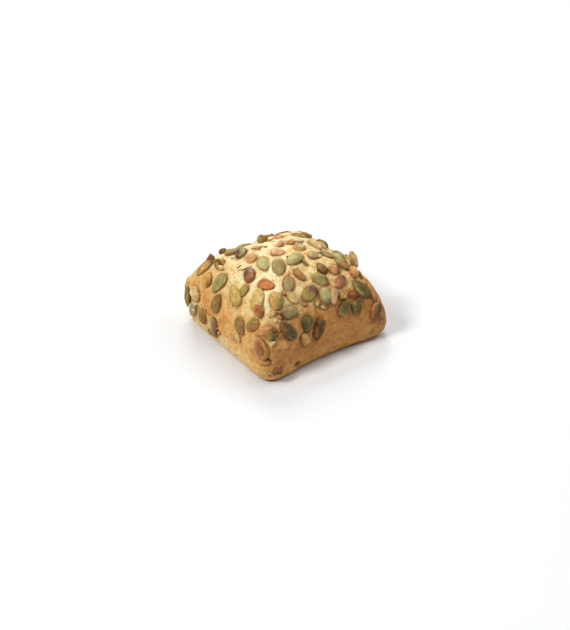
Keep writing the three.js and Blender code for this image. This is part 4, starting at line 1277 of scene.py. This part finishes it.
def breakSeed(piece, length, cuts):
    # Cuts across the seed in its own frame. Each cut's face shows the flesh.
    grown = bmesh.new()
    grown.from_mesh(piece.data)
    for degrees, share in cuts:
        normal = levelDirection(degrees) + Vector((0, 0, seedShape["cutSlant"]))
        found = bmesh.ops.bisect_plane(grown, geom=grown.verts[:] + grown.edges[:] + grown.faces[:],
                                       plane_co=normal * (share * length / 2), plane_no=normal,
                                       clear_outer=True)
        rim = [item for item in found["geom_cut"] if isinstance(item, bmesh.types.BMEdge)]
        faces = bmesh.ops.contextual_create(grown, geom=rim)["faces"]
        for face in faces:
            face.material_index = 1
            face.smooth = False
    bmesh.ops.recalc_face_normals(grown, faces=grown.faces[:])
    grown.to_mesh(piece.data)
    grown.free()
    piece.data.materials.append(crumblySkins["splitSeedFlesh"])


# A fragment's size over its corners, cuts across each edge, how far the edges wear, and how rough
# its faces are, with the grain in millimetres.
fragmentLook = {"size": 0.58, "cuts": 5, "wear": 0.5, "roughness": 0.16, "grain": 0.9}


def fragmentMesh(name, shape, size):
    # A few corners wrapped in flat faces, with the edges worn and the faces roughened.
    look = fragmentLook
    grown = bmesh.new()
    for corner in fragmentShapes[shape]:
        grown.verts.new([c * s * look["size"] for c, s in zip(corner, size)])
    hull = bmesh.ops.convex_hull(grown, input=grown.verts[:])
    bmesh.ops.delete(grown, geom=[v for v in hull["geom_interior"] if isinstance(v, bmesh.types.BMVert)],
                     context="VERTS")
    bmesh.ops.subdivide_edges(grown, edges=grown.edges[:], cuts=look["cuts"], use_grid_fill=True)
    bmesh.ops.smooth_vert(grown, verts=grown.verts[:], factor=look["wear"], use_axis_x=True,
                          use_axis_y=True, use_axis_z=True)
    shift = Vector((random.uniform(0, 40), 0, 0))
    for corner in grown.verts:
        corner.co *= 1 + look["roughness"] * noise.noise(corner.co / look["grain"] + shift)
    bmesh.ops.recalc_face_normals(grown, faces=grown.faces[:])
    mesh = meshFrom(grown, name)
    mesh.materials.append(seedSkins["satin"])
    return mesh


# The record's material slot of each seed node, and that of the smaller pieces by their body colour.
slotOf = {row["node"]: row["material_slot"] for row in frame["record"]["subparts"]}
slotOfBody = {"darkGreen": "seed_green", "leafGreen": "seed_green", "gold": "seed_gold", "straw": "seed_gold",
              "cream": "seed_gold", "plum": "seed_plum", "toast": "seed_brown", "redBrown": "seed_brown",
              "orangeTan": "seed_brown", "darkBrown": "seed_brown"}

# All seeds are set up first, so that their trees are evaluated together.
waiting = []
for node, (place, length, width) in cadSeeds.items():
    number = node[-2:]
    tones = seedTones[number]
    lengthShare, widthShare, drop, move = seedShape["fitted"].get(number, (1.0, 1.0, 0.0, 0.0))
    length, width, thick = length * lengthShare, width * widthShare, seedShape["thickness"]
    place = place.copy()
    place.translation += levelDirection(seedShape["moveBearing"]) * move - place.to_3x3().col[2] * drop
    piece = sproutSeed("pumpkinSeed" + number, length, width, thick, seedSkins[tones[5]])
    flats = seedShape["cracked"].get(number, 0)
    waiting.append((piece, place, length, width, thick, tones, None, flats, slotOf[node], [node]))
for table in (smallSeeds, brokenChips):
    for name, seed in table.items():
        body, cuts = seed["skin"], seed.get("cuts")
        length, width, thick = seed["length"], seed["width"], seed.get("thick", seedShape["smallThickness"])
        tones = (body, seed.get("second", body), seed.get("bearing", seedShape["usualBearing"]),
                 seed.get("cut", seedShape["usualCut"]), rimColourOfBody.get(body, "darkBrown"))
        piece = sproutSeed(name, length, width, thick, seedSkins["satin"],
                           1.0 if cuts is None else seedShape["chipLumpiness"],
                           seedShape["smallAround"], seedShape["smallRings"])
        waiting.append((piece, seed["place"], length, width, thick, tones, cuts, seed.get("flats", 0),
                        slotOfBody.get(body, "seed_olive"), []))
bpy.context.view_layer.update()
for piece, place, length, width, thick, tones, cuts, flats, slotName, nodes in waiting:
    growMesh(piece)
    flattenSeed(piece, length, width, thick, flats or seedShape["flats"],
                seedShape["crackedAt" if flats else "flatAt"])
    if cuts:
        breakSeed(piece, length, cuts)
    rimStart = seedShape["rimStart"].get(piece.name[-2:], seedShape["usualRimStart"])
    rimDepth = seedShape["rimDepth" if nodes else "smallRimDepth"]
    toneSeed(piece, place, length, width, tones, rimDepth, rimStart)
    settle(piece, slotName, *nodes)
for name, (lean, bearing, size, shape, body, second, *rest) in fragments.items():
    piece = newPiece(name, fragmentMesh(name, shape, size))
    secondBearing = rest[0] if rest else seedShape["usualBearing"]
    lift = rest[1] if len(rest) > 1 else 0.0
    tones = (body, second, secondBearing, seedShape["fragmentCut"], second)
    toneSeed(piece, fragmentPlace(lean, bearing, size[2], lift), size[0], size[1], tones,
             seedShape["fragmentRimDepth"])
    settle(piece, slotOfBody.get(body, "seed_olive"))
print("seeds made:", len(waiting), "and fragments:", len(fragments))


# Bran and crumbs strewn over the crust: how many on a square centimetre, sizes in millimetres,
# how flat each bit is, how high it sits, the lowest place, and the seed of its chance.
scatterLook = {
    "branFlakes": {"finish": "wheatBran", "perSquareCentimetre": 1.6, "smallest": 0.2, "largest": 0.45,
                   "flatness": 0.4, "sit": 0.02, "lowest": 1.5, "chance": 4},
    "doughCrumbs": {"finish": "doughCrumb", "perSquareCentimetre": 1.6, "smallest": 0.2, "largest": 0.55,
                    "flatness": 0.7, "sit": 0.05, "lowest": 4.0, "chance": 9},
}


def scatterTree():
    # Bits strewn over the crust: each is a small faceted grain, pressed flat to the surface.
    tree, given = newTree("crustScatter", "Crust", "Bits",
                          ["Density", "Smallest", "Largest", "Flatness", "Sit", "Lowest"], ["Chance"])
    where = addNode(tree, "GeometryNodeInputPosition")
    height = addNode(tree, "ShaderNodeSeparateXYZ", {0: where}).outputs["Z"]
    above = addNode(tree, "FunctionNodeCompare", {0: height, 1: given["Lowest"]}, data_type="FLOAT",
                    operation="GREATER_THAN")
    points = addNode(tree, "GeometryNodeDistributePointsOnFaces",
                     {"Mesh": given["Crust"], "Selection": above, "Density": given["Density"],
                      "Seed": given["Chance"]})
    grain = addNode(tree, "GeometryNodeMeshIcoSphere", {"Radius": 1.0, "Subdivisions": 2})
    place = addNode(tree, "GeometryNodeInputPosition")
    crumple = addNode(tree, "ShaderNodeTexNoise", {"Vector": place, "Scale": 1.4, "Detail": 1.0})
    swell = addNode(tree, "ShaderNodeMapRange",
                    {"Value": crumple, "From Min": 0.3, "From Max": 0.7, "To Min": 0.6, "To Max": 1.3})
    squashed = addNode(tree, "ShaderNodeCombineXYZ", {"X": 1.35, "Y": 0.85, "Z": given["Flatness"]})
    scaled = addNode(tree, "ShaderNodeVectorMath", {0: place, 1: squashed}, operation="MULTIPLY")
    crumpled = addNode(tree, "ShaderNodeVectorMath", {0: scaled, "Scale": swell}, operation="SCALE")
    shaped = addNode(tree, "GeometryNodeSetPosition", {"Geometry": grain, "Position": crumpled})
    size = addNode(tree, "FunctionNodeRandomValue",
                   {2: given["Smallest"], 3: given["Largest"], "Seed": given["Chance"]}, data_type="FLOAT")
    fullTurn = 6.283  # radians
    spin = addNode(tree, "FunctionNodeRandomValue", {2: 0.0, 3: fullTurn, "Seed": 7}, data_type="FLOAT")
    spun = addNode(tree, "ShaderNodeCombineXYZ", {"Z": spin})
    turned = addNode(tree, "FunctionNodeRotateRotation",
                     {"Rotation": points.outputs["Rotation"], "Rotate By": spun}, rotation_space="LOCAL")
    lifted = addNode(tree, "ShaderNodeCombineXYZ", {"Z": given["Sit"]})
    outward = addNode(tree, "FunctionNodeRotateVector",
                      {"Vector": lifted, "Rotation": points.outputs["Rotation"]})
    placed = addNode(tree, "GeometryNodeSetPosition",
                     {"Geometry": points.outputs["Points"], "Offset": outward})
    strewn = addNode(tree, "GeometryNodeInstanceOnPoints",
                     {"Points": placed, "Instance": shaped, "Rotation": turned,
                      "Scale": addNode(tree, "ShaderNodeCombineXYZ", {"X": size, "Y": size, "Z": size})})
    return endTree(tree, "Bits", strewn, given["Finish"])


bitsTree = scatterTree()
for name, look in scatterLook.items():
    bits = newPiece(name, loafCrust.data.copy())
    addTree(bits, bitsTree, {
        "Density": look["perSquareCentimetre"] / 100, "Smallest": look["smallest"],
        "Largest": look["largest"], "Flatness": look["flatness"], "Sit": look["sit"],
        "Lowest": look["lowest"], "Chance": look["chance"], "Finish": crumblySkins[look["finish"]],
    })
    growMesh(bits)
    print(name, len(bits.data.polygons), "faces")
    settle(bits, "crust")
settle(loafCrust, "crust", "loaf")


studio = {
    "floorColour": "e9eaeb", "floorSize": 9.0, "worldStrength": 0.03, "lightDistance": 2.4,
    # light: bearing and height above the floor in degrees, size in metres, power in watts
    "lights": {"overheadLight": (0, 90, 1.4, 13.6), "farLight": (62, 45, 1.1, 24.5),
               "backLight": (5, 38, 1.2, 8.0), "leftLight": (177, 48, 0.6, 35.0),
               "sparkLight": (138, 50, 0.15, 5.0), "rightLight": (325, 45, 1.6, 13.0)},
    # camera: degrees, metres and the lens in millimetres
    "azimuth": -35.0, "elevation": 34.0, "distance": 0.803, "lens": 85.0,
    "aimHeight": 0.020, "frameDrop": 0.0108,
}


def paleFloor():
    # A matt sheet wide enough to fill the view.
    grown = bmesh.new()
    bmesh.ops.create_grid(grown, x_segments=1, y_segments=1, size=studio["floorSize"] / 2)
    mesh = meshFrom(grown, "studioFloor")
    matt = {"Base Color": linearColour(studio["floorColour"]), "Roughness": 0.9, "Specular IOR Level": 0.1}
    mesh.materials.append(newFinish("paleMattFloor", matt)[0])
    newPiece("studioFloor", mesh)


def softLight():
    # Large soft lights round the roll, and a small one for the glints on the oiled seeds.
    world = bpy.data.worlds.new("softStudio")
    bpy.context.scene.world = world
    world.use_nodes = True
    background = world.node_tree.nodes["Background"]
    background.inputs["Color"].default_value = (1, 1, 1, 1)
    background.inputs["Strength"].default_value = studio["worldStrength"]
    for name, (bearing, height, size, power) in studio["lights"].items():
        light = bpy.data.objects.new(name, bpy.data.lights.new(name, "AREA"))
        light.data.size = size
        light.data.energy = power
        turn, rise = math.radians(bearing), math.radians(height)
        direction = Vector((math.cos(turn) * math.cos(rise), math.sin(turn) * math.cos(rise),
                            math.sin(rise)))
        light.location = direction * studio["lightDistance"]
        light.rotation_mode = "QUATERNION"
        light.rotation_quaternion = (-direction).to_track_quat("-Z", "Y")
        bpy.context.scene.collection.objects.link(light)


def studioCamera():
    # It aims a little below the roll, so the roll stands above the middle of the frame.
    azimuth, elevation = math.radians(studio["azimuth"]), math.radians(studio["elevation"])
    back = Vector((math.sin(azimuth) * math.cos(elevation), -math.cos(azimuth) * math.cos(elevation),
                   math.sin(elevation)))
    up = back.cross(levelDirection(studio["azimuth"]))
    middle = Vector((slide[0] / metre, slide[1] / metre, studio["aimHeight"]))
    camera = bpy.data.objects.new("studioCamera", bpy.data.cameras.new("studioCamera"))
    camera.data.lens = studio["lens"]
    camera.location = middle + back * studio["distance"]
    aim = middle - up * studio["frameDrop"]
    camera.rotation_mode = "QUATERNION"
    camera.rotation_quaternion = (aim - camera.location).to_track_quat("-Z", "Y")
    camera.data.clip_start, camera.data.clip_end = 0.01, 20
    bpy.context.scene.collection.objects.link(camera)
    bpy.context.scene.camera = camera


paleFloor()
softLight()
studioCamera()
bpy.context.scene.view_settings.view_transform = "Standard"
print("floor, light and camera set")
